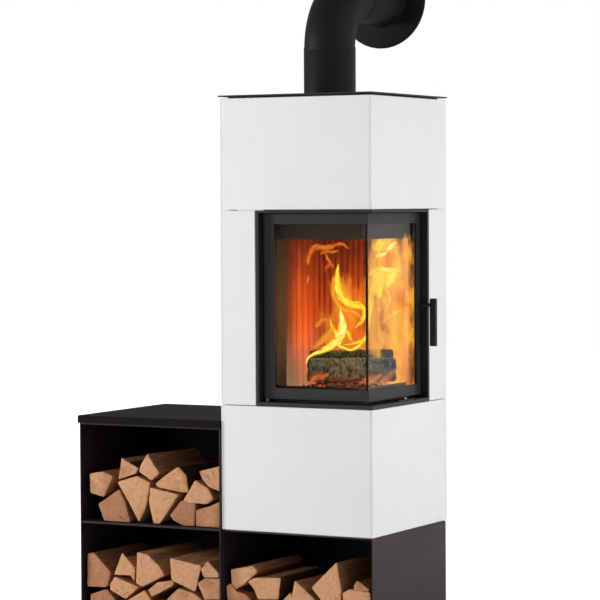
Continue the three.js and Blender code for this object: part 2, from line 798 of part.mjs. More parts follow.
function addHandle() {
  const camX = doorFace - pocketDepth - gap;
  const gripX = half + gripStandOff;
  const stem = onStem(rod(stemRadius, camX - camThickness - stemPastCam, gripX + gripSocket));
  addPart('handle_stem', stem, finish.blackSteel);
  const gripTop = stemZ + gripAboveStem;
  const gripY = gripThickness / 2;
  const gripOutline = rectangle(stemY - gripY, stemY + gripY, gripTop - gripLength, gripTop);
  const grip = alongXRounded(gripOutline, gripX, gripX + gripWidth, gripBevel).subtract(
    onStem(rod(stemRadius + gap, gripX - past, gripX + gripSocket + gap)),
  );
  addPart('handle_grip', grip, finish.blackSteel);
  const plateX = doorFace + gap;
  const escutcheon = ring(stemRadius + gap, escutcheonRadius, plateX, plateX + escutcheonThickness);
  addPart('handle_escutcheon', onStem(escutcheon), finish.blackSteel);
  const tongueZ = tongueHeight / 2;
  const tongue = rectangle(stemY, stemY + camReach, stemZ - tongueZ, stemZ + tongueZ);
  const cam = cut(joined([
    onStem(rod(camHub, camX - camThickness, camX)),
    alongX(tongue, camX - camThickness, camX),
  ]), [onStem(rod(stemRadius + gap, camX - camThickness - past, camX + past))]);
  addPart('latch_cam', cam, finish.zincSteel);
}

// ---------------------------------------------------------------- air control
// A flat bar on the sill; its neck runs in a slot and a wider foot below keeps it down.
function addAirControl() {
  const sill = surround.z0 + ledge;
  const x = half - airFromFace;
  const barFloor = sill + gap;
  const barTop = barFloor + airBarThickness;
  const footFloor = surround.z0 + gap;
  const bar = joined([
    blockAt(x, airY, airBarWidth / 2, airBarLength / 2, barFloor, barTop),
    blockAt(x, airY, airNeckWidth / 2, airNeckLength / 2, footFloor, barFloor + past),
    blockAt(x, airY, airFootWidth / 2, airNeckLength / 2, footFloor, footFloor + airFootHeight),
  ]);
  addPart('air_slide_bar', bar, finish.blackSteel);
  const knobFloor = barTop + gap;
  const knobTop = knobFloor + airKnobHeight;
  const knob = turnedZ([
    [0, knobFloor],
    [airKnobRadius - airKnobChamfer, knobFloor],
    [airKnobRadius, knobFloor + airKnobChamfer],
    [airKnobRadius, knobTop - airKnobChamfer],
    [airKnobRadius - airKnobChamfer, knobTop],
    [0, knobTop],
  ], x, airY, pinSegments);
  addPart('air_slide_knob', knob, finish.brightSteel);
}

// ---------------------------------------------------------------- flue
// A quarter circle in the plane x = 0, from straight up to straight back.
class QuarterBend extends THREE.Curve {
  constructor(centreY, centreZ, radius) {
    super();
    this.centreY = centreY;
    this.centreZ = centreZ;
    this.radius = radius;
  }

  getPoint(t, target = new THREE.Vector3()) {
    const angle = (Math.PI / 2) * t;
    const y = this.centreY - this.radius * Math.cos(angle);
    const z = this.centreZ + this.radius * Math.sin(angle);
    return target.set(0, y, z);
  }
}

function addFlue() {
  const pipeInner = fluePipeRadius - flueWall;
  const spigotOuter = pipeInner - gap;
  const spigotInner = spigotOuter - flueWall;
  const seatZ = body.z1 + gap;
  const collar = turnedZ([
    [spigotInner, seatZ],
    [collarFlange, seatZ],
    [collarFlange, seatZ + sheet],
    [spigotOuter, seatZ + sheet],
    [spigotOuter, seatZ + collarHeight],
    [spigotInner, seatZ + collarHeight],
    [spigotInner, seatZ],
  ], 0, flueY);
  addPart('flue_collar', collar, finish.fireSteel);
  const pipe = turnedZ(ring(pipeInner, fluePipeRadius, seatZ + sheet + gap, fluePipeTop), 0, flueY);
  addPart('flue_pipe', pipe, finish.fluePaint);

  const path = new QuarterBend(elbowEndY, elbowStart, elbowBend);
  const section = (radius) => {
    const shape = new THREE.Shape();
    shape.absarc(0, 0, radius, 0, 2 * Math.PI);
    return solidOf(new THREE.ExtrudeGeometry(shape, {
      steps: elbowSteps,
      curveSegments: roundSegments / 2,
      bevelEnabled: false,
      extrudePath: path,
    }));
  };
  const spigotFloor = fluePipeTop - spigotLength;
  const spigotEnd = elbowEndY + spigotLength;
  const elbow = cut(joined([
    section(elbowRadius),
    turnedZ(rod(elbowRadius, fluePipeTop + gap, elbowStart + past), 0, flueY),
    turnedZ(rod(spigotOuter, spigotFloor, fluePipeTop + gap + past), 0, flueY),
    turnedY(rod(spigotOuter, elbowEndY - past, spigotEnd), 0, flueAxisZ),
  ]), [
    section(elbowRadius - flueWall),
    turnedZ(rod(spigotInner, spigotFloor - past, elbowStart + past), 0, flueY),
    turnedY(rod(spigotInner, elbowEndY - past, spigotEnd + past), 0, flueAxisZ),
  ]);
  addPart('flue_elbow', elbow, finish.fluePaint);

  const crossing = ring(pipeInner, fluePipeRadius, elbowEndY + gap, wallY + flueIntoWall);
  addPart('flue_wall_pipe', turnedY(crossing, 0, flueAxisZ), finish.fluePaint);
  // The disc falls from its neck to its rim in three equal steps.
  const neck = fluePipeRadius + gap;
  const step = rosetteDish / 3;
  const rosette = turnedY([
    [neck, wallY - rosetteCollar],
    [neck + rosetteSheet, wallY - rosetteCollar],
    [neck + rosetteSheet + rosetteFillet, wallY - 3 * step],
    [rosetteRadius - rosetteRoll, wallY - 2 * step],
    [rosetteRadius - rosetteSheet, wallY - step],
    [rosetteRadius, wallY],
    [rosetteRadius - rosetteSheet, wallY],
    [rosetteRadius - 2 * rosetteSheet, wallY - step + rosetteSheet],
    [rosetteRadius - rosetteRoll - rosetteSheet / 2, wallY - 2 * step + rosetteSheet],
    [neck, wallY - 3 * step + rosetteSheet],
    [neck, wallY - rosetteCollar],
  ], 0, flueAxisZ);
  addPart('wall_rosette', rosette, finish.fluePaint);
}

// ---------------------------------------------------------------- firewood and fire
// Each outline is the end of one split log, as [x, z] points measured from a box's inner floor corner.
const upperLogs = [
  [[20, 143], [67, 151], [103, 138], [72, 74], [24, 84]],
  [[136, 195], [194, 166], [184, 149], [122, 129]],
  [[226, 211], [266, 154], [239, 131], [196, 156], [202, 176]],
  [[120, 122], [189, 143], [235, 124], [220, 54], [193, 2], [160, 60]],
  [[52, 52], [126, 100], [148, 63], [168, 2], [75, 2]],
  [[239, 111], [340, 94], [269, 2], [247, 2], [233, 67]],
  [[254, 121], [283, 144], [336, 178], [364, 153], [371, 102], [353, 100], [265, 112]],
  [[354, 76], [394, 140], [440, 115], [456, 87], [435, 70], [382, 71]],
  [[404, 166], [479, 185], [479, 109], [440, 121], [416, 143]],
  [[308, 31], [348, 77], [396, 69], [391, 2], [352, 2], [318, 17]],
  [[394, 50], [444, 65], [478, 80], [478, 2], [396, 2]],
];
const lowerLogs = [
  [[9, 198], [31, 203], [95, 148], [83, 101], [10, 98]],
  [[135, 209], [180, 164], [178, 123], [169, 142], [105, 139]],
  [[189, 214], [229, 207], [268, 175], [285, 149], [206, 109], [185, 119]],
  [[305, 203], [414, 186], [391, 106], [309, 136]],
  [[414, 178], [436, 202], [476, 167], [476, 155], [423, 152]],
  [[398, 133], [423, 149], [476, 151], [476, 89], [423, 85]],
  [[88, 109], [106, 134], [191, 107], [146, 68], [91, 92]],
  [[225, 101], [257, 126], [316, 136], [311, 119], [237, 81]],
  [[20, 75], [78, 95], [111, 64], [98, 2], [26, 2]],
  [[148, 63], [213, 100], [237, 73], [226, 27], [178, 2], [148, 17]],
  [[291, 77], [333, 114], [388, 101], [418, 81], [388, 17], [308, 11]],
  [[113, 60], [140, 59], [173, 2], [106, 2]],
  [[238, 67], [283, 73], [300, 37], [288, 2], [198, 2], [233, 25]],
  [[423, 77], [476, 81], [478, 2], [400, 2], [398, 27]],
];
const plinthLogs = [
  [[15, 179], [91, 194], [108, 178], [54, 133], [29, 119], [18, 135]],
  [[74, 147], [94, 159], [186, 165], [178, 101], [109, 97], [96, 125]],
  [[4, 129], [16, 139], [39, 115], [69, 109], [84, 95], [72, 47], [8, 57]],
  [[232, 161], [297, 109], [284, 37], [219, 57], [222, 109]],
  [[287, 143], [371, 223], [387, 144], [384, 97], [335, 93]],
  [[425, 159], [435, 173], [476, 148], [472, 143], [425, 144]],
  [[390, 135], [411, 146], [478, 141], [480, 77], [394, 81]],
  [[193, 102], [218, 124], [226, 104], [222, 57], [184, 55]],
  [[4, 49], [68, 41], [78, 2], [4, 2]],
  [[94, 93], [164, 95], [178, 47], [144, 2], [86, 2]],
  [[184, 47], [218, 51], [244, 2], [156, 2]],
  [[292, 93], [332, 87], [354, 37], [340, 2], [254, 2], [278, 47]],
  [[356, 89], [388, 75], [480, 71], [482, 2], [350, 2], [362, 41]],
];

// A box's logs, as one body: each outline is grown to touch its neighbours and kept inside the box.
function logStack(outlines, x0, x1, y, z) {
  const wide = (x1 - x0) / logDrawnWidth;
  const high = (boxHeight - 2 * sheet) / logDrawnHeight;
  const logs = outlines.map((outline) => {
    const sum = outline.reduce(([a, b], [px, pz]) => [a + px, b + pz]);
    const middle = sum.map((total) => total / outline.length);
    const grown = outline.map(([px, pz]) => [
      x0 + wide * (middle[0] + (px - middle[0]) * stackGrow),
      z + high * (middle[1] + (pz - middle[1]) * stackGrow),
    ]);
    return alongY(grown, y, y + logLength);
  });
  const ceiling = z + boxHeight - 2 * sheet - gap;
  const bay = block(x0 + gap, x1 - gap, y - past, y + logLength + past, z + gap, ceiling);
  return joined(logs).intersect(bay);
}

function addFirewood() {
  const benchX0 = bench.x0 + sheet;
  const benchX1 = bench.x1 - sheet;
  const benchFront = bench.y0 + logEndInset;
  const upperFloor = boxHeight + gap + sheet;
  const plinthX0 = bench.x1 + gap + sheet;
  const plinthX1 = half - plinthInset - sheet;
  const plinthFront = -half + plinthInset + logEndInset;
  addPart('logs_bench_upper', logStack(upperLogs, benchX0, benchX1, benchFront, upperFloor), finish.wood);
  addPart('logs_bench_lower', logStack(lowerLogs, benchX0, benchX1, benchFront, sheet), finish.wood);
  addPart('logs_plinth', logStack(plinthLogs, plinthX0, plinthX1, plinthFront, sheet), finish.wood);
}

function addFire() {
  const turn = THREE.MathUtils.degToRad(burningLogTurn);
  const emberFloor = hearthTop + gap;
  const logX = fire.x + burningLogOffset.x;
  const logY = fire.y + burningLogOffset.y;
  const logZ = emberFloor + emberHeight + burningLogRadius - burningLogSink;
  const cylinder = (radius, length) => {
    const geometry = new THREE.CylinderGeometry(radius, radius, length, 14);
    return solidOf(geometry.rotateZ(Math.PI / 2).rotateZ(turn).translate(logX, logY, logZ));
  };
  // The mound's profile: share of its reach, share of its height.
  const profile = [[0, 0], [1, 0], [0.93, 0.45], [0.7, 0.85], [0.35, 1], [0, 1]];
  const mound = new THREE.LatheGeometry(profile.map(([r, h]) => new THREE.Vector2(r, h)), 20);
  const reachX = (inside.far - liningX) / 2 - emberMarginX;
  const reachY = (inside.far + liningY) / 2 - emberMarginY;
  mound.rotateX(Math.PI / 2).scale(reachX, reachY, emberHeight).translate(fire.x, fire.y, emberFloor);
  const embers = solidOf(mound).subtract(cylinder(burningLogRadius + gap, burningLogLength + 2 * gap));
  addPart('ember_bed', embers, finish.ember);
  addPart('burning_log', cylinder(burningLogRadius, burningLogLength), finish.char);
}

addBench();
addTiles();
addPart('carrier_frame', carrierFrame(), finish.zincSteel);
addRearPanel();
addColumnTop();
addFirebox();
addLinings();
addSurround();
addHinges();
addDoor();
addHandle();
addAirControl();
addFlue();
addFirewood();
addFire();

export default stove;
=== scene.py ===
"""A tiled wood stove with a corner glass door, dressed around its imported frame.

Every length is in metres and every place in the frame's own axes: +Z up, the front towards -Y,
the log bench towards -X and the wall behind towards +Y.
"""
from math import cos, pi, radians, sin, tau

import bpy
import numpy as np
from bpy.props import FloatProperty, FloatVectorProperty, IntProperty, PointerProperty
from mathutils import Matrix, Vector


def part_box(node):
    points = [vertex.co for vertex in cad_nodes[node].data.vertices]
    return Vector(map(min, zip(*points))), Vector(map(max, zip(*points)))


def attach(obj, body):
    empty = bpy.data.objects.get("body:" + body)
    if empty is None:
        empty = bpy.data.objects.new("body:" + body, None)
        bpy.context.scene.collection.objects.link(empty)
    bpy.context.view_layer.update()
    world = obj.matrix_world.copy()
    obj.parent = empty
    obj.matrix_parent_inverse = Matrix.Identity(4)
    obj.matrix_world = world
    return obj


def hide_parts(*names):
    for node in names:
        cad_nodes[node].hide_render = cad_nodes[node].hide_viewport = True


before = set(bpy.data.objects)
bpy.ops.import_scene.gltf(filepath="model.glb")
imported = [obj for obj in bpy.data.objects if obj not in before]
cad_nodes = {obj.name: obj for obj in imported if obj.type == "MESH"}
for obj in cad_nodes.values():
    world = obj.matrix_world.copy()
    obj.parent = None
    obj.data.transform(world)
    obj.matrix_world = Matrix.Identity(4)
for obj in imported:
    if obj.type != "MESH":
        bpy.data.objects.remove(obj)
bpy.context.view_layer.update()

bl_info = {
    "name": "Tiled corner stove",
    "version": (1, 0, 0),
    "blender": (4, 5, 0),
    "location": "3D View > Sidebar > Stove",
    "description": "Finishes, firewood, fire and flue for a tiled stove with a corner glass door",
    "category": "Add Mesh",
}

MM = 0.001
AROUND = 96            # points round a pipe


def corners(node):
    """Lowest and highest corner of a CAD node, as arrays."""
    low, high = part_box(node)
    return np.array(low), np.array(high)


# ---------------------------------------------------------------- surfaces
class Shell:
    """A closed surface: points, faces, and the values that its points hold for the materials."""

    def __init__(self, points, quads, triangles=None, values=None):
        self.points = points
        self.quads = quads
        self.triangles = np.empty((0, 3), int) if triangles is None else triangles
        self.values = values or {}

    def volume(self):
        """Sum over all triangles of a x b . c / 6, which is negative where faces point inwards."""
        halves = [self.quads[:, [0, 1, 2]], self.quads[:, [0, 2, 3]], self.triangles]
        a, b, c = np.moveaxis(self.points[np.vstack(halves)], 1, 0)
        return (np.cross(a, b) * c).sum() / 6

    def facing_out(self):
        """The same surface with its faces turned outwards."""
        if self.volume() < 0:
            self.quads = self.quads[:, ::-1]
            self.triangles = self.triangles[:, ::-1]
        return self


def gathered(shells):
    """Several shells as one, with the face numbers of each moved past the points before it."""
    starts = np.cumsum([0] + [len(shell.points) for shell in shells[:-1]])
    return Shell(
        np.vstack([shell.points for shell in shells]),
        np.vstack([shell.quads + start for shell, start in zip(shells, starts)]),
        np.vstack([shell.triangles + start for shell, start in zip(shells, starts)]),
        {key: np.concatenate([shell.values[key] for shell in shells]) for key in shells[0].values},
    )


def loft(rings, loop=False, **values):
    """A skin over rings of points, shaped (rings, points around, 3), each ring closed on itself.

    Point (i, j) joins (i, j+1), (i+1, j+1) and (i+1, j). With loop the last ring meets the first,
    and without it a fan about its middle closes each end. Values are shaped as the rings are.
    """
    count, around = rings.shape[:2]
    index = np.arange(count * around).reshape(count, around)
    lower, upper = (index, np.roll(index, -1, 0)) if loop else (index[:-1], index[1:])
    quads = np.stack([lower, np.roll(lower, -1, 1), np.roll(upper, -1, 1), upper], -1).reshape(-1, 4)
    if loop:
        flat = {key: value.reshape(count * around, -1) for key, value in values.items()}
        return Shell(rings.reshape(-1, 3), quads, None, flat).facing_out()

    def with_ends(grid):
        grid = grid.reshape(count, around, -1)
        return np.vstack([grid.reshape(count * around, -1), grid[0].mean(0), grid[-1].mean(0)])

    first, last = np.full(around, count * around), np.full(around, count * around + 1)
    fans = np.vstack([
        np.stack([np.roll(index[0], -1), index[0], first], -1),
        np.stack([index[-1], np.roll(index[-1], -1), last], -1),
    ])
    flat = {key: with_ends(value) for key, value in values.items()}
    return Shell(with_ends(rings), quads, fans, flat).facing_out()


def superellipse(turn, power):
    """The points (x, y) of |x|^n + |y|^n = 1 at each angle of turn, for a power of 2 / n."""
    return np.stack([
        np.sign(np.cos(turn)) * np.abs(np.cos(turn)) ** power,
        np.sign(np.sin(turn)) * np.abs(np.sin(turn)) ** power,
    ], -1)


def turned(profile, centre, axis, around=AROUND, loop=True):
    """A profile of (radius, distance) pairs turned about an axis: centre + r (cos t, sin t) + d axis."""
    axis = np.array(axis, float)
    side = np.array((1.0, 0.0, 0.0)) if abs(axis[0]) < 0.5 else np.array((0.0, 1.0, 0.0))
    other = np.cross(axis, side)
    turn = np.arange(around) / around * tau
    spoke = np.cos(turn)[:, None] * side + np.sin(turn)[:, None] * other
    profile = np.array(profile, float)
    rings = centre + profile[:, 0, None, None] * spoke + profile[:, 1, None, None] * axis
    return loft(rings, loop)


def swept(path, section, faces, loop=False, **values):
    """A section of (out, side) pairs carried along a path; 'out' follows the directions in faces.

    Ring i = path i + out x face i + side x (tangent i x face i).
    """
    if loop:
        tangent = np.roll(path, -1, 0) - np.roll(path, 1, 0)
    else:
        tangent = np.gradient(path, axis=0)
    tangent /= np.linalg.norm(tangent, axis=1)[:, None]
    side = np.cross(tangent, faces)
    section = np.broadcast_to(section, (len(path), *section.shape[-2:]))
    rings = path[:, None] + section[..., :1] * faces[:, None] + section[..., 1:] * side[:, None]
    return loft(rings, loop, **values)


def smooth_curve(points, count):
    """A Catmull-Rom curve through the points, sampled at count even steps of its parameter."""
    points = np.array(points, float)
    padded = np.vstack([2 * points[0] - points[1], points, 2 * points[-1] - points[-2]])
    at = np.linspace(0, len(points) - 1, count)
    start = np.minimum(at.astype(int), len(points) - 2)
    t = (at - start)[:, None]
    p0, p1, p2, p3 = (padded[start + k] for k in range(4))
    bend = 2 * p0 - 5 * p1 + 4 * p2 - p3
    twist = 3 * p1 - p0 - 3 * p2 + p3
    return (2 * p1 + (p2 - p0) * t + bend * t**2 + twist * t**3) / 2


def unevenness(points, size, seed, terms=28):
    """Smooth noise between about -1 and 1: the sum of plane waves, about 'size' long, in seeded
    random directions and phases."""
    rng = np.random.default_rng(seed)
    direction = rng.normal(size=(terms, points.shape[-1]))
    direction /= np.linalg.norm(direction, axis=1)[:, None]
    wave = direction * (tau / size) * rng.uniform(0.55, 1.7, (terms, 1))
    phase = rng.uniform(0, tau, terms)
    return np.cos(points @ wave.T + phase).sum(-1) * (2 / terms) ** 0.5 / 2


def cracks(points, cells):
    """How far each point is from the border between its two nearest cells: second distance - first."""
    nearest = np.full(points.shape[:-1] + (2,), np.inf)
    for cell in cells:
        away = np.linalg.norm(points - cell, axis=-1)[..., None]
        nearest = np.sort(np.concatenate([nearest, away], -1), -1)[..., :2]
    return nearest[..., 1] - nearest[..., 0]


def resampled(outline, count, rounding):
    """A closed outline as count even steps along it, with each corner rounded by a moving mean."""
    outline = np.array(outline, float)
    closed = np.vstack([outline, outline[:1]])
    along = np.concatenate([[0], np.cumsum(np.linalg.norm(np.diff(closed, axis=0), axis=1))])
    at = np.arange(count) / count * along[-1]
    ring = np.stack([np.interp(at, along, closed[:, k]) for k in range(closed.shape[1])], -1)
    reach = max(1, int(round(rounding / along[-1] * count)))
    return np.mean([np.roll(ring, step, 0) for step in range(-reach, reach + 1)], 0)


def placed(name, data):
    """A new object of the scene that shows the data."""
    item = bpy.data.objects.new(name, data)
    bpy.context.scene.collection.objects.link(item)
    return item


def put(name, shell, finish, body="root", replaces=(), sharp=35):
    """Makes a piece of a shell: its mesh, its values as attributes, its finish and its body.

    Edges that turn by more than 'sharp' degrees stay sharp.
    """
    mesh = bpy.data.meshes.new(name)
    mesh.from_pydata(shell.points.tolist(), [], shell.quads.tolist() + shell.triangles.tolist())
    mesh.shade_smooth()
    mesh.set_sharp_from_angle(angle=radians(sharp))
    for key, value in shell.values.items():
        kind, slot_name = ("FLOAT", "value") if value.shape[1] == 1 else ("FLOAT_VECTOR", "vector")
        attribute = mesh.attributes.new(key, kind, "POINT")
        attribute.data.foreach_set(slot_name, value.astype(np.float32).ravel())
    mesh.materials.append(finish)
    piece = placed(name, mesh)
    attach(piece, body)
    if replaces:
        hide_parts(*replaces)
    return piece


def dress(finish, *names):
    """Gives CAD nodes a finish."""
    for name in names:
        cad_nodes[name].data.materials.clear()
        cad_nodes[name].data.materials.append(finish)


# ---------------------------------------------------------------- node wiring
class Wiring:
    """Short ways to add nodes to one tree. What a socket is fed is a value or another node's output."""

    def __init__(self, tree):
        self.tree = tree

    def add(self, kind, inputs=(), **settings):
        node = self.tree.nodes.new("ShaderNode" + kind)
        for name, value in settings.items():
            setattr(node, name, value)
        for key, value in dict(inputs).items():
            self.feed(node.inputs[key], value)
        return node

    def feed(self, socket, value):
        if isinstance(value, bpy.types.NodeSocket):
            self.tree.links.new(value, socket)
        elif socket.type == "RGBA" and len(value) == 3:
            socket.default_value = (*value, 1.0)
        else:
            socket.default_value = value

    def maths(self, operation, a, b=0.0, clamp=False):
        return self.add("Math", {0: a, 1: b}, operation=operation, use_clamp=clamp).outputs[0]

    def times(self, a, b, clamp=False):
        return self.maths("MULTIPLY", a, b, clamp)

    def plus(self, a, b, clamp=False):
        return self.maths("ADD", a, b, clamp)

    def minus(self, a, b):
        return self.maths("SUBTRACT", a, b)

    def between(self, value, low, high, start=0.0, end=1.0):
        """Carries a value smoothly from start to end as it goes from low to high."""
        inputs = {"Value": value, "From Min": low, "From Max": high, "To Min": start, "To Max": end}
        return self.add("MapRange", inputs, interpolation_type="SMOOTHSTEP").outputs[0]

    def tint(self, share, first, second, blend="MIX"):
        return self.add("Mix", {0: share, 6: first, 7: second}, data_type="RGBA", blend_type=blend).outputs[2]

    def blend(self, share, first, second):
        return self.add("Mix", {0: share, 2: first, 3: second}, data_type="FLOAT").outputs[0]

    def noise(self, vector, size, detail=3.0, roughness=0.55):
        """Noise with lumps about 'size' across."""
        inputs = {"Vector": vector, "Scale": 1 / size, "Detail": detail, "Roughness": roughness}
        return self.add("TexNoise", inputs).outputs[0]

    def scaled(self, vector, scale):
        return self.add("Mapping", {"Vector": vector, "Scale": scale}).outputs[0]

    def object_place(self):
        return self.add("TexCoord").outputs["Object"]

    def xyz(self, vector):
        """The three parts of a vector."""
        return self.add("SeparateXYZ", {0: vector}).outputs

    def vector(self, x, y, z):
        return self.add("CombineXYZ", {0: x, 1: y, 2: z}).outputs[0]

    def length(self, vector):
        return self.add("VectorMath", {0: vector}, operation="LENGTH").outputs["Value"]

    def kept(self, name, output="Vector"):
        """What the mesh holds for each of its points under a name."""
        return self.add("Attribute", attribute_name=name).outputs[output]

    def effect(self, name, **inputs):
        """The one output of a shared node group."""
        node = self.tree.nodes.new("ShaderNodeGroup")
        node.node_tree = bpy.data.node_groups[name]
        for key, value in inputs.items():
            self.feed(node.inputs[key.replace("_", " ").capitalize()], value)
        return node.outputs[0]


class Finish(Wiring):
    """A material under way: its principled shader, with its constants set on the shader's own sockets."""

    def __init__(self, name, **constants):
        self.material = bpy.data.materials.new(name)
        self.material.use_nodes = True
        super().__init__(self.material.node_tree)
        self.shader = self.tree.nodes["Principled BSDF"]
        for key, value in constants.items():
            self.shade(key.replace("_", " "), value)

    def shade(self, socket, value):
        self.feed(self.shader.inputs[socket], value)

    def relief(self, height, depth, strength=1.0):
        """A bump whose full height is depth."""
        inputs = {"Height": height, "Distance": depth, "Strength": strength}
        self.shade("Normal", self.add("Bump", inputs).outputs[0])


def shaded(colour, share):
    """A colour times one share, or times a share for each of red, green and blue."""
    shares = share if isinstance(share, tuple) else (share,) * 3
    return [c * k for c, k in zip(colour, shares)]


def new_effect(name, inputs, output):
    """Starts a shared node group with one float output; returns its wiring, inputs and output."""
    tree = bpy.data.node_groups.new(name, "ShaderNodeTree")
    for label, value in inputs.items():
        kind = "NodeSocketVector" if isinstance(value, tuple) else "NodeSocketFloat"
        tree.interface.new_socket(name=label, in_out="INPUT", socket_type=kind).default_value = value
    tree.interface.new_socket(name=output, in_out="OUTPUT", socket_type="NodeSocketFloat")
    wiring = Wiring(tree)
    start = tree.nodes.new("NodeGroupInput")
    end = tree.nodes.new("NodeGroupOutput")
    return wiring, start.outputs, end.inputs[output]


def add_grain_effect():
    """Fine grain: the same speckle at two scales, as paint, glaze and stone show it."""
    w, given, out = new_effect("Fine grain", {"Size": 0.002, "Coarse": 0.3}, "Grain")
    place = w.object_place()
    fine, broad = (
        w.add("TexNoise", {
            "Vector": place, "Detail": detail, "Scale": w.maths("DIVIDE", lump, given["Size"]),
        })
        for detail, lump in ((2.0, 1.0), (4.0, 0.04))
    )
    w.feed(out, w.blend(given["Coarse"], fine.outputs[0], broad.outputs[0]))


def add_dust_effect():
    """Settled dust: a patchy mask on what faces up."""
    w, given, out = new_effect("Settled dust", {"Amount": 0.3, "Patch": 0.08}, "Mask")
    normal = w.xyz(w.add("NewGeometry").outputs["Normal"])[2]
    scale = w.maths("DIVIDE", 1.0, given["Patch"])
    patch = w.add("TexNoise", {"Vector": w.object_place(), "Scale": scale, "Detail": 5.0}).outputs[0]
    up = w.between(normal, 0.4, 1.0)
    w.feed(out, w.times(w.times(up, given["Amount"]), patch))


def add_soot_effect():
    """Soot: a mask that rises with height, broken up by noise."""
    w, given, out = new_effect("Soot", {"Low": 0.0, "High": 1.0, "Patch": 0.05}, "Mask")
    place = w.object_place()
    height = w.xyz(place)[2]
    scale = w.maths("DIVIDE", 1.0, given["Patch"])
    patch = w.add("TexNoise", {"Vector": place, "Scale": scale, "Detail": 5.0}).outputs[0]
    uneven = w.plus(height, w.times(w.minus(patch, 0.5), 0.25))
    w.feed(out, w.between(uneven, given["Low"], given["High"]))


def add_heat_effect():
    """Heat: a mask that falls off with the distance from the fire, stretched upwards as flames are; the fire
    bricks use it to place their painted firelight.
    """
    inputs = {"Centre": (0.0, 0.0, 0.0), "Reach": 0.3, "Rise": 1.0}
    w, given, out = new_effect("Heat", inputs, "Mask")
    apart = w.add("VectorMath", {0: w.object_place(), 1: given["Centre"]}, operation="SUBTRACT").outputs[0]
    squeeze = w.vector(1.0, 1.0, w.maths("DIVIDE", 1.0, given["Rise"]))
    apart = w.add("VectorMath", {0: apart, 1: squeeze}, operation="MULTIPLY").outputs[0]
    away = w.length(apart)
    share = w.maths("DIVIDE", away, given["Reach"])
    w.feed(out, w.between(share, 0.0, 1.0, 1.0, 0.0))


def add_handling_effect():
    """Handling: broad soft smears and thin stretched streaks, for a little change of gloss."""
    w, given, out = new_effect("Handling", {"Amount": 0.5}, "Smear")
    place = w.object_place()
    broad = w.noise(place, 0.12, 4.0)
    streak = w.noise(w.scaled(place, (1.0, 1.0, 12.0)), 0.02, 3.0)
    both = w.plus(w.times(broad, 0.7), w.times(streak, 0.3))
    w.feed(out, w.times(w.minus(both, 0.5), given["Amount"]))


def add_effects():
    add_grain_effect()
    add_dust_effect()
    add_soot_effect()
    add_heat_effect()
    add_handling_effect()


# ---------------------------------------------------------------- sizes and colours
def colour_setting(name, description, default):
    return FloatVectorProperty(
        name=name, description=description, default=default, min=0, max=1, subtype="COLOR",
    )


def power_setting(name, description, default):
    return FloatProperty(
        name=name, description=description, default=default, min=0, subtype="POWER", unit="POWER",
    )


def angle_setting(name, description, degrees):
    return FloatProperty(name=name, description=description, default=radians(degrees), subtype="ANGLE")


class StageSettings(bpy.types.PropertyGroup):
    camera_place: FloatVectorProperty(
        name="Camera place", description="Where the camera stands",
        default=(3.6221, -6.9324, 1.2629), subtype="TRANSLATION", unit="LENGTH",
    )
    camera_yaw: angle_setting("Camera yaw", "Turn of the camera to the left of +Y", 28.348)
    camera_pitch: angle_setting("Camera pitch", "How far the camera looks down", 2.114)
    camera_roll: angle_setting("Camera roll", "Tilt of the camera about its own axis", -0.323)
    camera_lens: FloatProperty(
        name="Lens", description="Focal length for a 36 mm sensor", default=157.63, min=20, subtype="NONE",
    )
    backdrop: colour_setting("Backdrop", "Tone of the studio behind the stove", (1.0, 1.0, 1.0))
    floor_tone: colour_setting("Floor", "Tone of the studio floor", (0.93, 0.93, 0.94))
    front_light: power_setting("Front light", "Power of the large soft light before the stove", 114.0)
    side_light: power_setting("Side light", "Power of the soft light on the right", 100.0)
    near_light: power_setting("Near light", "Power of the small soft light close to the right side", 1.6)
    strip_light: power_setting(
        "Strip light", "Power of the light on the left that draws highlights on the flue", 135.0,
    )


class FinishSettings(bpy.types.PropertyGroup):
    glaze: colour_setting("Glaze", "White of the tiles", (0.80, 0.79, 0.81))
    door_steel: colour_setting(
        "Door steel", "Paint of the door, surround, top and handle", (0.020, 0.018, 0.021),
    )
    box_steel: colour_setting("Box steel", "Paint of the log boxes", (0.020, 0.0155, 0.018))
    slab: colour_setting("Bench top", "Colour of the slab on the bench", (0.010, 0.009, 0.008))
    flue_paint: colour_setting("Flue paint", "Heatproof paint of the flue", (0.013, 0.0125, 0.014))
    lining: colour_setting("Lining", "Colour of the fire bricks where they are clean", (0.60, 0.165, 0.05))


class WoodSettings(bpy.types.PropertyGroup):
    cut_wood: colour_setting("Sawn end", "Colour of a sawn log end", (0.70, 0.39, 0.215))
    split_wood: colour_setting("Split side", "Colour of a split side", (0.58, 0.27, 0.125))
    bark: colour_setting("Bark", "Colour of the bark", (0.055, 0.026, 0.014))
    ring_width: FloatProperty(
        name="Ring width", description="Width of one year's ring",
        default=3.2 * MM, min=0.5 * MM, unit="LENGTH",
    )
    seed: IntProperty(name="Seed", description="Chooses the unevenness of the logs", default=11)


class FireSettings(bpy.types.PropertyGroup):
    flame_glow: FloatProperty(name="Flame glow", description="Brightness of the flames", default=1.15, min=0)
    ember_glow: FloatProperty(name="Ember glow", description="Brightness of the embers", default=1.3, min=0)
    fire_light: power_setting("Firelight", "Power of the light that the fire throws on its chamber", 0.6)
    fire_colour: colour_setting("Fire colour", "Colour of the light that the fire throws", (1.0, 0.42, 0.13))


class StoveSettings(bpy.types.PropertyGroup):
    stage: PointerProperty(type=StageSettings, name="Stage", description="Camera, floor and lights")
    finish: PointerProperty(
        type=FinishSettings, name="Finishes", description="Colours of the stove's own parts",
    )
    wood: PointerProperty(type=WoodSettings, name="Firewood", description="Colours and grain of the logs")
    fire: PointerProperty(type=FireSettings, name="Fire", description="Flames, embers and their light")


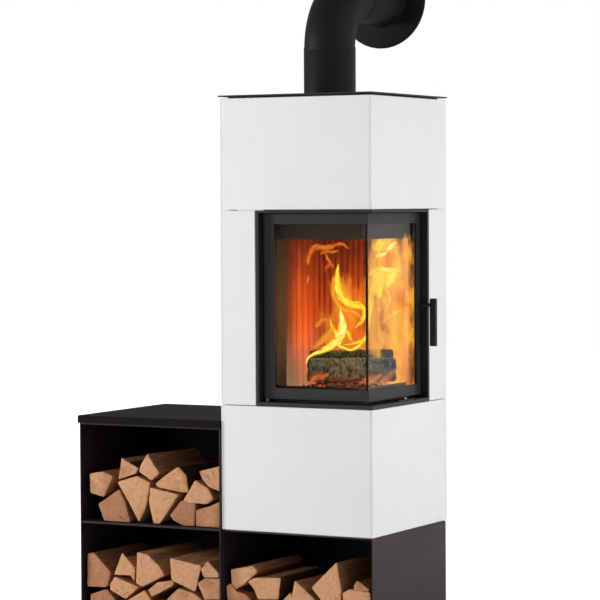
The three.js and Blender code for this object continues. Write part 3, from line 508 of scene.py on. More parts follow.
# ---------------------------------------------------------------- finishes
def glaze_finish(colour):
    """White glaze: faint clouding, a faint ripple and a soft gloss."""
    f = Finish("Tile glaze", IOR=1.5, Specular_IOR_Level=0.4)
    cloud = f.noise(f.object_place(), 0.25, 3.0)
    grain = f.effect("Fine grain", size=0.0012, coarse=0.35)
    f.shade("Base Color", f.tint(f.between(cloud, 0.3, 0.7), shaded(colour, 0.975), colour))
    f.shade("Roughness", f.between(grain, 0.2, 0.8, 0.30, 0.40))
    f.relief(grain, 0.00008, 0.5)
    return f.material


def painted_finish(
    name, colour, roughness, grain_size=0.0007, depth=0.00012, gloss=0.3, dust=0.25, sheen=(1, 1, 1),
):
    """Paint on steel: a fine stipple, smears that change the gloss, and a little dust on top."""
    f = Finish(name, IOR=1.45, Specular_IOR_Level=gloss, Specular_Tint=sheen)
    grain = f.effect("Fine grain", size=grain_size, coarse=0.2)
    smear = f.effect("Handling", amount=0.25)
    dusty = f.effect("Settled dust", amount=dust, patch=0.05)
    paint = f.tint(grain, shaded(colour, 0.75), shaded(colour, 1.25))
    f.shade("Base Color", f.tint(dusty, paint, (0.16, 0.15, 0.14)))
    f.shade("Roughness", f.plus(roughness, smear, clamp=True))
    f.relief(grain, depth)
    return f.material


def metal_finish(name, colour, roughness, stretch=(1.0, 1.0, 30.0), tarnish=(0.2, 0.17, 0.13)):
    """Bare or plated metal: fine drawn lines and darker patches."""
    f = Finish(name, Metallic=1.0)
    place = f.object_place()
    lines = f.noise(f.scaled(place, stretch), 0.004, 3.0)
    patch = f.noise(place, 0.03, 4.0)
    clean = f.tint(lines, shaded(colour, 0.85), colour)
    f.shade("Base Color", f.tint(f.between(patch, 0.55, 0.8, 0.0, 0.6), clean, tarnish))
    f.shade("Roughness", f.between(patch, 0.3, 0.8, roughness, roughness + 0.25))
    f.relief(lines, 0.00005, 0.6)
    return f.material


def fire_steel_finish(fire_centre):
    """Steel inside the firebox: olive-brown scale, darker with soot towards the top.

    The face beside the side glass, between hearth and lintel, has a painted reflection of the flames before
    it: a glow of emission, though the steel is no lamp.
    """
    f = Finish("Fire steel", Metallic=0.35, Roughness=0.75, Emission_Strength=1.0)
    place = f.object_place()
    scale = f.noise(place, 0.02, 5.0)
    bare = f.tint(scale, (0.075, 0.06, 0.035), (0.14, 0.11, 0.065))
    soot = f.effect("Soot", low=fire_centre[2] + 0.30, high=fire_centre[2] + 0.75, patch=0.03)
    f.shade("Base Color", f.tint(soot, bare, (0.05, 0.042, 0.032)))
    # Painted reflection: firelight painted as a glow on the face beside the side glass, between hearth and
    # lintel.
    x, _, z = f.xyz(place)
    beside = f.between(x, fire_centre[0] + 0.124, fire_centre[0] + 0.130)
    under_lintel = f.between(z, fire_centre[2] + 0.419, fire_centre[2] + 0.421, 1.0, 0.0)
    over_hearth = f.between(z, fire_centre[2] - 0.03, fire_centre[2] + 0.10)
    uneven = f.between(scale, 0.2, 0.7, 0.8, 1.0)
    painted_light_mask = f.times(f.times(beside, under_lintel), f.times(over_hearth, uneven))
    f.shade("Emission Color", f.tint(painted_light_mask, (0, 0, 0), (0.80, 0.42, 0.09)))
    f.relief(scale, 0.0004)
    return f.material


def cast_iron_finish():
    """Cast iron: a sandy skin with rust in its hollows."""
    f = Finish("Cast iron", Metallic=0.3, Roughness=0.85)
    grain = f.effect("Fine grain", size=0.0015, coarse=0.4)
    f.shade("Base Color", f.tint(f.between(grain, 0.45, 0.7), (0.10, 0.045, 0.025), (0.045, 0.042, 0.04)))
    f.relief(grain, 0.0005)
    return f.material


def lining_finish(colour, fire_centre, ribbed=False, painted_shade_end=None):
    """Fire brick: sandy and porous, with painted shade in the grooves between the flutes and a painted glow
    of firelight where the fire is near.

    A brick whose nearest Y is given as its painted shade end has painted shade there: it is darker, and its
    painted glow fades, as if out of sight of the flames.
    """
    name = "Ribbed fire brick" if ribbed else "Fire brick"
    f = Finish(name, Roughness=0.9, Specular_IOR_Level=0.1, Emission_Strength=0.12)
    place = f.object_place()
    pores = f.effect("Fine grain", size=0.0025, coarse=0.35)
    stain = f.noise(f.scaled(place, (1.0, 1.0, 0.12)), 0.03, 4.0)
    body = f.tint(f.between(stain, 0.35, 0.7), shaded(colour, 0.72), colour)
    if ribbed:
        # Painted shade: the grooves between the flutes are darker, as if shade fell in them.
        crest = f.between(f.kept("crest", "Fac"), 0.15, 0.8)
        body = f.tint(crest, shaded(colour, (0.6, 0.42, 0.35)), body)
    soot = f.effect("Soot", low=fire_centre[2] + 0.20, high=fire_centre[2] + 0.52, patch=0.05)
    body = f.tint(f.times(soot, 0.75), body, (0.17, 0.035, 0.018))
    # Painted firelight: this mask sets a glow painted on the bricks as emission, strongest near the fire; the
    # bricks are no lamp.
    heat = f.effect("Heat", centre=tuple(fire_centre), reach=0.30, rise=1.35)
    if painted_shade_end is not None:
        # Painted shade: darker towards the given end, and the painted glow fades there.
        painted_light_mask = f.between(f.xyz(place)["Y"], painted_shade_end, painted_shade_end + 0.09)
        body = f.tint(painted_light_mask, (0.16, 0.06, 0.026), body)
        heat = f.times(heat, painted_light_mask)
    f.shade("Base Color", body)
    hot = f.times(heat, f.between(stain, 0.2, 0.8, 0.65, 1.0))
    glow = f.tint(hot, (0, 0, 0), (0.95, 0.24, 0.035))
    # Painted light of the embers: the foot of the bricks glows as if lit from the hearth.
    foot = f.between(f.xyz(place)["Z"], fire_centre[2] - 0.04, fire_centre[2] + 0.20, 1.0, 0.0)
    painted_ember_light = (1.5, 0.85, 0.42) if painted_shade_end is None else (2.1, 1.3, 0.7)
    f.shade("Emission Color", f.tint(foot, glow, painted_ember_light))
    f.relief(pores, 0.0008)
    return f.material


def glass_finish():
    """Heatproof glass: clear, with the faintest warm film."""
    f = Finish("Fire glass", Transmission_Weight=1.0, IOR=1.21, Roughness=0.0, Specular_IOR_Level=0.5)
    film = f.noise(f.object_place(), 0.09, 4.0)
    f.shade("Base Color", f.tint(f.between(film, 0.35, 0.75), (0.97, 0.965, 0.95), (1.0, 1.0, 1.0)))
    return f.material


def rope_finish():
    """Glass-fibre rope: grey, with the slant of its braid from the piece's own values."""
    f = Finish("Seal rope", Roughness=0.95, Specular_IOR_Level=0.1)
    around, along, _ = f.xyz(f.kept("braid"))
    one_way = f.maths("SINE", f.plus(around, along))
    other_way = f.maths("SINE", f.minus(around, along))
    strand = f.maths("ABSOLUTE", f.times(one_way, other_way))
    f.shade("Base Color", f.tint(strand, (0.05, 0.048, 0.045), (0.17, 0.165, 0.155)))
    f.relief(strand, 0.0006)
    return f.material


def bead_finish():
    """Black sealing bead in the corner of the glass: matt, with a fine tooled skin."""
    f = Finish("Corner bead", Roughness=0.7, Specular_IOR_Level=0.2)
    grain = f.effect("Fine grain", size=0.0008, coarse=0.3)
    f.shade("Base Color", f.tint(grain, (0.012, 0.012, 0.013), (0.03, 0.03, 0.032)))
    f.relief(grain, 0.0001)
    return f.material


def slab_finish(colour):
    """Bench top: matt dark board with a fine grain and a trace of dust."""
    f = Finish("Bench slab", IOR=1.4, Specular_IOR_Level=0.07, Specular_Tint=(1.0, 0.80, 0.62))
    place = f.object_place()
    grain = f.noise(f.scaled(place, (0.35, 6.0, 6.0)), 0.012, 5.0)
    stipple = f.effect("Fine grain", size=0.0009, coarse=0.25)
    board = f.tint(grain, shaded(colour, 0.7), shaded(colour, 1.35))
    dusty = f.effect("Settled dust", amount=0.07, patch=0.06)
    f.shade("Base Color", f.tint(dusty, board, (0.2, 0.18, 0.15)))
    f.shade("Roughness", f.between(grain, 0.3, 0.7, 0.62, 0.78))
    f.relief(stipple, 0.00015)
    return f.material


class STOVE_OT_finishes(bpy.types.Operator):
    """Give every part that keeps its own shape its finish"""

    bl_idname = "stove.finishes"
    bl_label = "Finish the steel, tiles and glass"

    def execute(self, context):
        colours = context.scene.stove.finish
        centre = fire_centre()
        steel = painted_finish("Door steel", colours.door_steel, 0.42, gloss=0.45)
        box_sheen = (1.0, 0.74, 0.84)
        boxes = painted_finish("Box steel", colours.box_steel, 0.46, gloss=0.46, dust=0.1, sheen=box_sheen)
        faces, courses = ("front", "left", "right"), ("lower", "mid", "upper")
        dress(glaze_finish(colours.glaze), *(f"tile_{face}_{course}" for face in faces for course in courses))
        dress(
            steel, "door_frame", "door_surround", "handle_stem", "handle_escutcheon",
            "air_slide_bar", "top_plate", "top_spacer", "rear_panel",
        )
        dress(metal_finish("Heat-tanned steel", (0.42, 0.36, 0.28), 0.5), "glass_retainer")
        log_boxes = ("plinth_box", "bench_lower", "bench_upper")
        dress(boxes, *(f"{box}_{half}" for box in log_boxes for half in ("shell", "back")))
        dress(slab_finish(colours.slab), "bench_top")
        dress(fire_steel_finish(centre), "firebox_body", "flue_collar", "air_wash_lintel")
        zinc = metal_finish("Zinc plate", (0.55, 0.56, 0.57), 0.38)
        dress(zinc, "carrier_frame", "ash_pan", "latch_keeper", "latch_cam")
        dress(metal_finish("Bright steel", (0.42, 0.42, 0.42), 0.3), "hinge_pin_lower", "hinge_pin_upper")
        dress(cast_iron_finish(), "grate")
        dress(lining_finish(colours.lining, centre), "hearth", "baffle")
        dress(glass_finish(), "glass_front", "glass_side")
        dress(bead_finish(), "glass_corner_bead")
        return {"FINISHED"}


def fire_centre():
    """The middle of the hearth, at the level that the embers reach."""
    low, high = corners("ember_bed")
    return np.array([(low[0] + high[0]) / 2, (low[1] + high[1]) / 2, high[2]])


# ---------------------------------------------------------------- flue
class STOVE_OT_flue(bpy.types.Operator):
    """Build the round flue: upright pipe, bend, pipe into the wall and wall rosette"""

    bl_idname = "stove.flue"
    bl_label = "Flue"

    def execute(self, context):
        paint = painted_finish(
            "Flue paint", context.scene.stove.finish.flue_paint,
            0.5, 0.0009, 0.0002, 0.13, 0.1, (1.0, 0.92, 1.0),
        )
        wall = 1.2 * MM
        socket = 11 * MM
        bead = 1.2 * MM
        pipe_low, pipe_high = corners("flue_pipe")
        elbow_low, elbow_high = corners("flue_elbow")
        back_low, back_high = corners("flue_wall_pipe")
        radius = (pipe_high[0] - pipe_low[0]) / 2
        upright = np.array([0.0, (pipe_low[1] + pipe_high[1]) / 2, 0.0])
        level = np.array([0.0, 0.0, (back_low[2] + back_high[2]) / 2])
        bend_radius = (elbow_high[0] - elbow_low[0]) / 2
        profile = self.pipe_profile(radius, wall, bead, pipe_low[2], pipe_high[2] + socket)
        pipe = turned(profile, upright, (0, 0, 1))
        put("flue_pipe_skin", pipe, paint, replaces=["flue_pipe"])
        profile = self.pipe_profile(radius, wall, bead, back_high[1], back_low[1] - socket / 2)
        back = turned(profile, level, (0, 1, 0))
        put("flue_wall_pipe_skin", back, paint, replaces=["flue_wall_pipe"])
        self.add_bend(paint, bend_radius, wall, pipe_high[2], back_low[1], upright[1], level[2])
        self.add_rosette(paint, radius, level)
        return {"FINISHED"}

    def pipe_profile(self, radius, wall, bead, far, near):
        """A pipe's section as (radius, distance): straight, with a groove and a rolled near end."""
        way = 1 if near > far else -1
        turn = np.linspace(0, pi, 9)
        half = wall / 2
        edge = [(radius - half + np.cos(a) * half, near - way * half + way * np.sin(a) * half) for a in turn]
        groove = 9 * MM
        lip = [(radius, near - way * (groove + 2 * bead)), (radius - bead / 2, near - way * (groove + bead)),
               (radius, near - way * groove)]
        return [(radius - wall, far), (radius, far), *lip, *edge]

    def add_bend(self, paint, radius, wall, start_z, end_y, axis_y, axis_z):
        """A short straight start and a quarter turn: centreline (y, z) = (c - R cos t, z0 + R sin t)."""
        bend = end_y - axis_y - 0.3 * MM
        middle = np.array([0.0, axis_y + bend, axis_z - bend])
        turn = np.linspace(0, pi / 2, 49)
        arc = middle + bend * np.stack([0 * turn, -np.cos(turn), np.sin(turn)], -1)
        low = np.array([[0.0, axis_y, start_z + 0.3 * MM]])
        path = np.vstack([low, arc])
        faces = np.tile([1.0, 0.0, 0.0], (len(path), 1))
        around = np.arange(AROUND) / AROUND * tau
        circle = np.stack([np.cos(around), np.sin(around)], -1)
        outer = swept(path, circle * radius, faces)
        inner = swept(path, circle * (radius - wall), faces)
        count = len(path) * AROUND
        rims = []
        for ring, flip in ((0, 1), (len(path) - 1, -1)):
            here = ring * AROUND + np.arange(AROUND)
            after = np.roll(here, -1)
            rims.append(np.stack([here, after, after + count, here + count], -1)[:, ::flip])
        inner_quads = inner.quads[:, ::-1] + count
        points = np.vstack([outer.points[:count], inner.points[:count]])
        skin = Shell(points, np.vstack([outer.quads, inner_quads, *rims]))
        put("flue_bend_skin", skin, paint, replaces=["flue_elbow"])

    def add_rosette(self, paint, radius, level):
        """A shallow dish with a rolled rim and a short collar on the pipe."""
        low, high = corners("wall_rosette")
        rim = (high[0] - low[0]) / 2
        wall_y = high[1]
        inner = radius + 0.3 * MM
        dish = [
            (inner, low[1]), (inner + 2 * MM, low[1]), (inner + 2.6 * MM, low[1] + 5 * MM),
            (inner + 5.5 * MM, low[1] + 11 * MM), (inner + 10 * MM, low[1] + 13.2 * MM),
        ]
        run = np.linspace(0.15, 1.0, 12)
        slope = [
            (inner + 10 * MM + (rim - 14 * MM - inner) * s, low[1] + (13.2 + 2.6 * s * s) * MM)
            for s in run
        ]
        roll = [
            (rim - 4 * MM + 4 * MM * sin(turn), wall_y - 6 * MM + 6 * MM * (1 - cos(turn)))
            for turn in np.linspace(0.2, pi / 2, 8)
        ]
        back = [(rim - 2 * MM, wall_y), (rim - 6 * MM, wall_y - 3.5 * MM), (inner, wall_y - 5.5 * MM)]
        put("wall_rosette_dish", turned(dish + slope + roll + back, level, (0, 1, 0)), paint,
            replaces=["wall_rosette"])


# ---------------------------------------------------------------- linings
class STOVE_OT_linings(bpy.types.Operator):
    """Build the fluted fire bricks at the side and back of the chamber"""

    bl_idname = "stove.linings"
    bl_label = "Fluted linings"

    def execute(self, context):
        brick = lining_finish(context.scene.stove.finish.lining, fire_centre(), ribbed=True)
        low, high = corners("lining_back")
        flute = 5 * MM
        plan = self.ribbed(low[0], high[0], 19.5 * MM, flute)
        face = [(x, low[1] + flute - out) for x, out in plan]
        outline = np.array([*face, (high[0], high[1]), (low[0], high[1])])
        crest = np.array([*(out / flute for _, out in plan), 1.0, 1.0])
        put("lining_back_bricks", self.upright(outline, crest, low[2], high[2], 21), brick,
            replaces=["lining_back"], sharp=50)
        low, high = corners("lining_side")
        plan = self.ribbed(low[1], high[1], 38 * MM, flute)
        face = [(high[0] - flute + out, y) for y, out in plan]
        outline = np.array([(low[0], high[1]), (low[0], low[1]), *face])
        crest = np.array([1.0, 1.0, *(out / flute for _, out in plan)])
        brick = lining_finish(context.scene.stove.finish.lining, fire_centre(), ribbed=True, painted_shade_end=low[1])
        put("lining_side_bricks", self.upright(outline, crest, low[2], high[2], 22), brick,
            replaces=["lining_side"], sharp=50)
        return {"FINISHED"}

    def ribbed(self, start, end, pitch, depth):
        """Half-round ribs side by side: out = depth |sin(pi s)|, s counting ribs; (along, out) pairs."""
        count = max(1, round((end - start) / pitch))
        s = np.linspace(0, count, count * 14 + 1)
        return list(zip(start + (end - start) * s / count, depth * np.abs(np.sin(pi * s)) ** 0.8))

    def upright(self, outline, crest, low, high, seed):
        """The outline carried up, a little uneven, with worn top and bottom edges."""
        height = high - low
        rows = np.linspace(6 * MM, height - 6 * MM, 60)
        steps = np.concatenate([[0, 1.5 * MM], rows, [height - 1.5 * MM, height]])
        worn = np.where((steps == 0) | (steps == height), 1.2 * MM, 0.0)
        inward = outline.mean(0) - outline
        inward /= np.linalg.norm(inward, axis=1)[:, None]
        rings = np.zeros((len(steps), len(outline), 3))
        rings[..., :2] = outline + worn[:, None, None] * inward
        rings[..., 2] = low + steps[:, None]
        shift = unevenness(rings * (1, 1, 0.4), 0.03, seed) * 0.25 * MM
        rings[..., :2] += shift[..., None] * inward
        return loft(rings, crest=np.broadcast_to(crest, rings.shape[:2])[..., None])


# ---------------------------------------------------------------- firewood
# Each outline is the end of one split log, as (x, z) in millimetres from its box's inner floor corner.
UPPER_LOGS = [
    [(20, 143), (67, 151), (103, 138), (72, 74), (24, 84)],
    [(136, 195), (194, 166), (184, 149), (122, 129)],
    [(226, 211), (266, 154), (239, 131), (196, 156), (202, 176)],
    [(120, 122), (189, 143), (235, 124), (220, 54), (193, 2), (160, 60)],
    [(52, 52), (126, 100), (148, 63), (168, 2), (75, 2)],
    [(239, 111), (340, 94), (269, 2), (247, 2), (233, 67)],
    [(254, 121), (283, 144), (336, 178), (364, 153), (371, 102), (353, 100), (265, 112)],
    [(354, 76), (394, 140), (440, 115), (456, 87), (435, 70), (382, 71)],
    [(404, 166), (479, 185), (479, 109), (440, 121), (416, 143)],
    [(308, 31), (348, 77), (396, 69), (391, 2), (352, 2), (318, 17)],
    [(394, 50), (444, 65), (478, 80), (478, 2), (396, 2)],
]
LOWER_LOGS = [
    [(9, 198), (31, 203), (95, 148), (83, 101), (10, 98)],
    [(135, 209), (180, 164), (178, 123), (169, 142), (105, 139)],
    [(189, 214), (229, 207), (268, 175), (285, 149), (206, 109), (185, 119)],
    [(305, 203), (414, 186), (391, 106), (309, 136)],
    [(414, 178), (436, 202), (476, 167), (476, 155), (423, 152)],
    [(398, 133), (423, 149), (476, 151), (476, 89), (423, 85)],
    [(88, 109), (106, 134), (191, 107), (146, 68), (91, 92)],
    [(225, 101), (257, 126), (316, 136), (311, 119), (237, 81)],
    [(20, 75), (78, 95), (111, 64), (98, 2), (26, 2)],
    [(148, 63), (213, 100), (237, 73), (226, 27), (178, 2), (148, 17)],
    [(291, 77), (333, 114), (388, 101), (418, 81), (388, 17), (308, 11)],
    [(113, 60), (140, 59), (173, 2), (106, 2)],
    [(238, 67), (283, 73), (300, 37), (288, 2), (198, 2), (233, 25)],
    [(423, 77), (476, 81), (478, 2), (400, 2), (398, 27)],
]
PLINTH_LOGS = [
    [(15, 179), (91, 194), (108, 178), (54, 133), (29, 119), (18, 135)],
    [(74, 147), (94, 159), (186, 165), (178, 101), (109, 97), (96, 125)],
    [(4, 129), (16, 139), (39, 115), (69, 109), (84, 95), (72, 47), (8, 57)],
    [(232, 161), (297, 109), (284, 37), (219, 57), (222, 109)],
    [(287, 143), (371, 223), (387, 144), (384, 97), (335, 93)],
    [(425, 159), (435, 173), (476, 148), (472, 143), (425, 144)],
    [(390, 135), (411, 146), (478, 141), (480, 77), (394, 81)],
    [(193, 102), (218, 124), (226, 104), (222, 57), (184, 55)],
    [(4, 49), (68, 41), (78, 2), (4, 2)],
    [(94, 93), (164, 95), (178, 47), (144, 2), (86, 2)],
    [(184, 47), (218, 51), (244, 2), (156, 2)],
    [(292, 93), (332, 87), (354, 37), (340, 2), (254, 2), (278, 47)],
    [(356, 89), (388, 75), (480, 71), (482, 2), (350, 2), (362, 41)],
]
# Each bay: its stack, its box, its logs' outlines, and how dark its darker logs are, by their number.
BAYS = (
    ("logs_bench_upper", "bench_upper_shell", UPPER_LOGS, {4: 1.0, 6: 0.6, 9: 1.1, 10: 0.85}),
    ("logs_bench_lower", "bench_lower_shell", LOWER_LOGS, {0: 0.9, 5: 0.7, 8: 1.0, 10: 0.7}),
    ("logs_plinth", "plinth_box_shell", PLINTH_LOGS, {2: 0.8, 5: 0.9, 8: 0.8}),
)
BOX_SHEET = 3 * MM


def firewood_finish(wood):
    """Split beech: rings and fine cracks on the sawn ends, long fibres on the sides, some bark."""
    f = Finish("Firewood", Roughness=0.88, Specular_IOR_Level=0.15)
    grain = f.kept("grain")
    tone, end, bark = f.xyz(f.kept("kind"))
    dx, _, dz = f.xyz(grain)
    flat = f.add("CombineXYZ", {0: dx, 1: 0.0, 2: dz}).outputs[0]
    wander = f.noise(grain, 0.03, 3.0)
    radius = f.length(flat)
    radius = f.plus(radius, f.times(wander, 0.014))
    rings = f.maths("SINE", f.times(radius, tau / wood.ring_width))
    rings = f.between(rings, -0.2, 1.0)
    angle = f.maths("ARCTAN2", dz, dx)
    spoke = f.add("CombineXYZ", {0: f.times(angle, 0.35), 1: f.times(radius, 0.8), 2: tone})
    check = f.between(f.noise(spoke.outputs[0], 0.022, 3.0), 0.60, 0.74)
    saw = f.noise(f.scaled(grain, (1.0, 1.0, 0.12)), 0.0016, 2.0)
    mottle = f.noise(grain, 0.011, 6.0, 0.7)
    cut = f.tint(f.times(rings, 0.38), wood.cut_wood, shaded(wood.cut_wood, 0.55))
    cut = f.tint(f.between(mottle, 0.35, 0.72, 0.0, 0.85), cut, shaded(wood.cut_wood, (0.82, 0.66, 0.56)))
    cut = f.tint(f.times(check, 0.18), cut, shaded(wood.cut_wood, 0.35))
    cut = f.tint(f.times(f.between(saw, 0.35, 0.65), 0.22), cut, shaded(wood.cut_wood, 0.5))
    fibre = f.noise(f.scaled(grain, (1.0, 0.035, 1.0)), 0.0028, 4.0)
    long_fibre = f.noise(f.scaled(grain, (1.0, 0.05, 1.0)), 0.014, 3.0)
    side = f.tint(f.between(fibre, 0.3, 0.7), shaded(wood.split_wood, 0.5), shaded(wood.split_wood, 1.2))
    side = f.tint(f.between(long_fibre, 0.4, 0.7, 0.0, 0.5), side, shaded(wood.split_wood, 0.45))
    rough_bark = f.noise(f.scaled(grain, (1.0, 0.3, 1.0)), 0.006, 6.0)
    skin = f.tint(rough_bark, shaded(wood.bark, 0.45), shaded(wood.bark, 2.0))
    side = f.tint(f.between(bark, 0.35, 0.6), side, skin)
    body = f.tint(end, side, cut)
    cloud = f.noise(grain, 0.045, 4.0)
    shade = f.between(f.plus(tone, f.between(cloud, 0.3, 0.7, -0.18, 0.18)), 0.35, 1.0, 0.0, 0.8)
    body = f.tint(shade, body, (0.58, 0.47, 0.44), "MULTIPLY")
    f.shade("Base Color", body)
    end_relief = f.plus(f.times(saw, 0.5), f.times(check, -1.5))
    side_relief = f.plus(fibre, f.times(rough_bark, bark))
    mixed = f.add("Mix", {0: end, 2: side_relief, 3: end_relief}, data_type="FLOAT").outputs[0]
    f.relief(mixed, 0.0011)
    return f.material


def pith_of(outline):
    """Where the tree's middle lay: a little beyond the sharpest corner of the split piece."""
    before, after = np.roll(outline, 1, 0) - outline, np.roll(outline, -1, 0) - outline
    sharpness = (before * after).sum(1) / (np.linalg.norm(before, axis=1) * np.linalg.norm(after, axis=1))
    tip = outline[sharpness.argmax()]
    return tip + 0.12 * (tip - outline.mean(0))


def split_log(outline, front, back, seed):
    """One split log along Y.

    Ring k is the outline scaled about its middle by the share for that row, twisted and tapered a
    little towards the back, with long low ridges along the grain; the end rows close in on a sawn face.
    """
    rng = np.random.default_rng(seed)
    ring = resampled(outline, 88, 3.5 * MM)
    pith = pith_of(outline)
    middle = ring.mean(0)
    start = front + rng.uniform(0, 9) * MM
    stop = back - rng.uniform(0, 14) * MM
    sawn = [(0.0, 0.34), (0.0, 0.7), (0.0, 0.955), (0.8 * MM, 0.985), (3.0 * MM, 1.0)]
    length = stop - start
    inner = [(along, 1.0) for along in np.linspace(9 * MM, length - 9 * MM, 30)]
    along, share = np.array([*sawn, *inner, *((length - a, s) for a, s in sawn[::-1])]).T
    far = along / along[-1]
    twist = radians(rng.uniform(-4, 4)) * far
    taper = 1 - rng.uniform(0.0, 0.10) * far
    spread = (ring - middle) * (share * taper)[:, None, None]
    x, z = spread[..., 0], spread[..., 1]
    twist_cos, twist_sin = np.cos(twist)[:, None], np.sin(twist)[:, None]
    rings = np.zeros((*x.shape, 3))
    rings[..., 0] = middle[0] + (x * twist_cos - z * twist_sin)
    rings[..., 1] = (start + along)[:, None]
    rings[..., 2] = middle[1] + (x * twist_sin + z * twist_cos)
    fibre = unevenness(rings * (1, 0.05, 1), 7 * MM, seed + 1) * 0.55 * MM
    bulge = unevenness(rings * (1, 0.35, 1), 60 * MM, seed + 2) * 1.8 * MM * far[:, None]
    outward = spread / np.maximum(np.linalg.norm(spread, axis=-1), 1e-6)[..., None]
    rings[..., [0, 2]] += outward * ((fibre + bulge) * share[:, None] ** 8)[..., None]
    tilt = rng.uniform(-0.05, 0.05, 2)
    rings[..., 1] += (rings[..., [0, 2]] - middle) @ tilt
    rings[..., 1] += (share < 0.97)[:, None] * unevenness(rings * (1, 0, 1), 9 * MM, seed + 3) * 0.35 * MM
    grain = rings + (-pith[0], rng.uniform(0, 9), -pith[1])
    from_pith = np.linalg.norm(rings[..., [0, 2]] - pith, axis=-1)
    bark = np.clip((from_pith / from_pith.max() - 0.80) / 0.08, 0, 1) * (rng.random() < 0.4)
    end = np.broadcast_to((share < 0.99)[:, None] * 1.0, bark.shape)
    kind = np.stack([np.full_like(bark, rng.random()), end, bark], -1)
    return rings, grain, kind


class STOVE_OT_firewood(bpy.types.Operator):
    """Stack the split logs in the three bays"""

    bl_idname = "stove.firewood"
    bl_label = "Firewood"

    def execute(self, context):
        wood = context.scene.stove.wood
        finish = firewood_finish(wood)
        seed = wood.seed
        for stack, box, outlines, darker in BAYS:
            low, high = corners(box)
            front, back = (corner[1] for corner in corners(stack))
            floor_corner = low[[0, 2]] + BOX_SHEET
            room = low + BOX_SHEET + 0.4 * MM, high - BOX_SHEET - 0.4 * MM
            logs = []
            for number, outline in enumerate(outlines):
                seed += 10
                rings, grain, kind = split_log(np.array(outline) * MM + floor_corner, front, back, seed)
                kind[..., 0] = darker.get(number, kind[0, 0, 0] * 0.6)
                rings[..., 0] = np.clip(rings[..., 0], room[0][0], room[1][0])
                rings[..., 2] = np.clip(rings[..., 2], room[0][2], room[1][2])
                logs.append(loft(rings, grain=grain, kind=kind))
            put(f"split_{stack}", gathered(logs), finish, replaces=[stack], sharp=50)
        return {"FINISHED"}


# ---------------------------------------------------------------- burning log and embers
def char_finish():
    """Charred wood: pale ash on the scales, black in the cracks, red deep down near the embers."""
    f = Finish("Charred wood", Roughness=0.95, Specular_IOR_Level=0.1, Emission_Strength=0.8)
    place = f.object_place()
    gap, low, back = f.xyz(f.kept("char"))
    ash = f.noise(place, 0.012, 6.0, 0.65)
    fine = f.noise(place, 0.0022, 4.0)
    scale = f.tint(f.between(ash, 0.3, 0.7), (0.07, 0.10, 0.083), (0.28, 0.37, 0.315))
    scale = f.tint(f.between(fine, 0.5, 0.8, 0.0, 0.5), scale, (0.44, 0.56, 0.48))
    scale = f.tint(f.times(back, 0.6), scale, (0.018, 0.015, 0.012))
    crack = f.between(gap, 0.0, 0.55, 1.0, 0.0)
    f.shade("Base Color", f.tint(crack, scale, (0.008, 0.007, 0.006)))
    glow = f.times(crack, f.between(low, 0.45, 0.0))
    hot = f.times(glow, f.between(ash, 0.35, 0.7))
    f.shade("Emission Color", f.tint(hot, (0, 0, 0), (1.0, 0.16, 0.02)))
    f.relief(f.plus(fine, ash), 0.0012)
    return f.material


def ember_finish(glow_strength):
    """Embers: ash-grey coals, glowing red to orange in the gaps and on the hottest faces."""
    f = Finish("Embers", Roughness=0.95, Specular_IOR_Level=0.05, Emission_Strength=glow_strength)
    place = f.object_place()
    gap, heat, _ = f.xyz(f.kept("coal"))
    patch = f.noise(place, 0.03, 5.0)
    fine = f.noise(place, 0.003, 4.0)
    coal = f.tint(f.between(fine, 0.35, 0.7), (0.012, 0.010, 0.009), (0.16, 0.145, 0.13))
    f.shade("Base Color", f.tint(f.between(patch, 0.5, 0.75), coal, (0.30, 0.275, 0.25)))
    hot = f.times(f.between(gap, 0.0, 1.0, 1.0, 0.5), f.between(patch, 0.38, 0.60, 1.0, 0.0))
    hot = f.times(hot, f.times(heat, f.between(fine, 0.3, 0.7, 0.5, 1.0)))
    colour = f.tint(f.between(hot, 0.3, 0.9), (0.50, 0.035, 0.008), (0.95, 0.22, 0.04))
    f.shade("Emission Color", f.tint(f.between(hot, 0.10, 0.8), (0, 0, 0), colour))
    f.relief(fine, 0.0015)
    return f.material


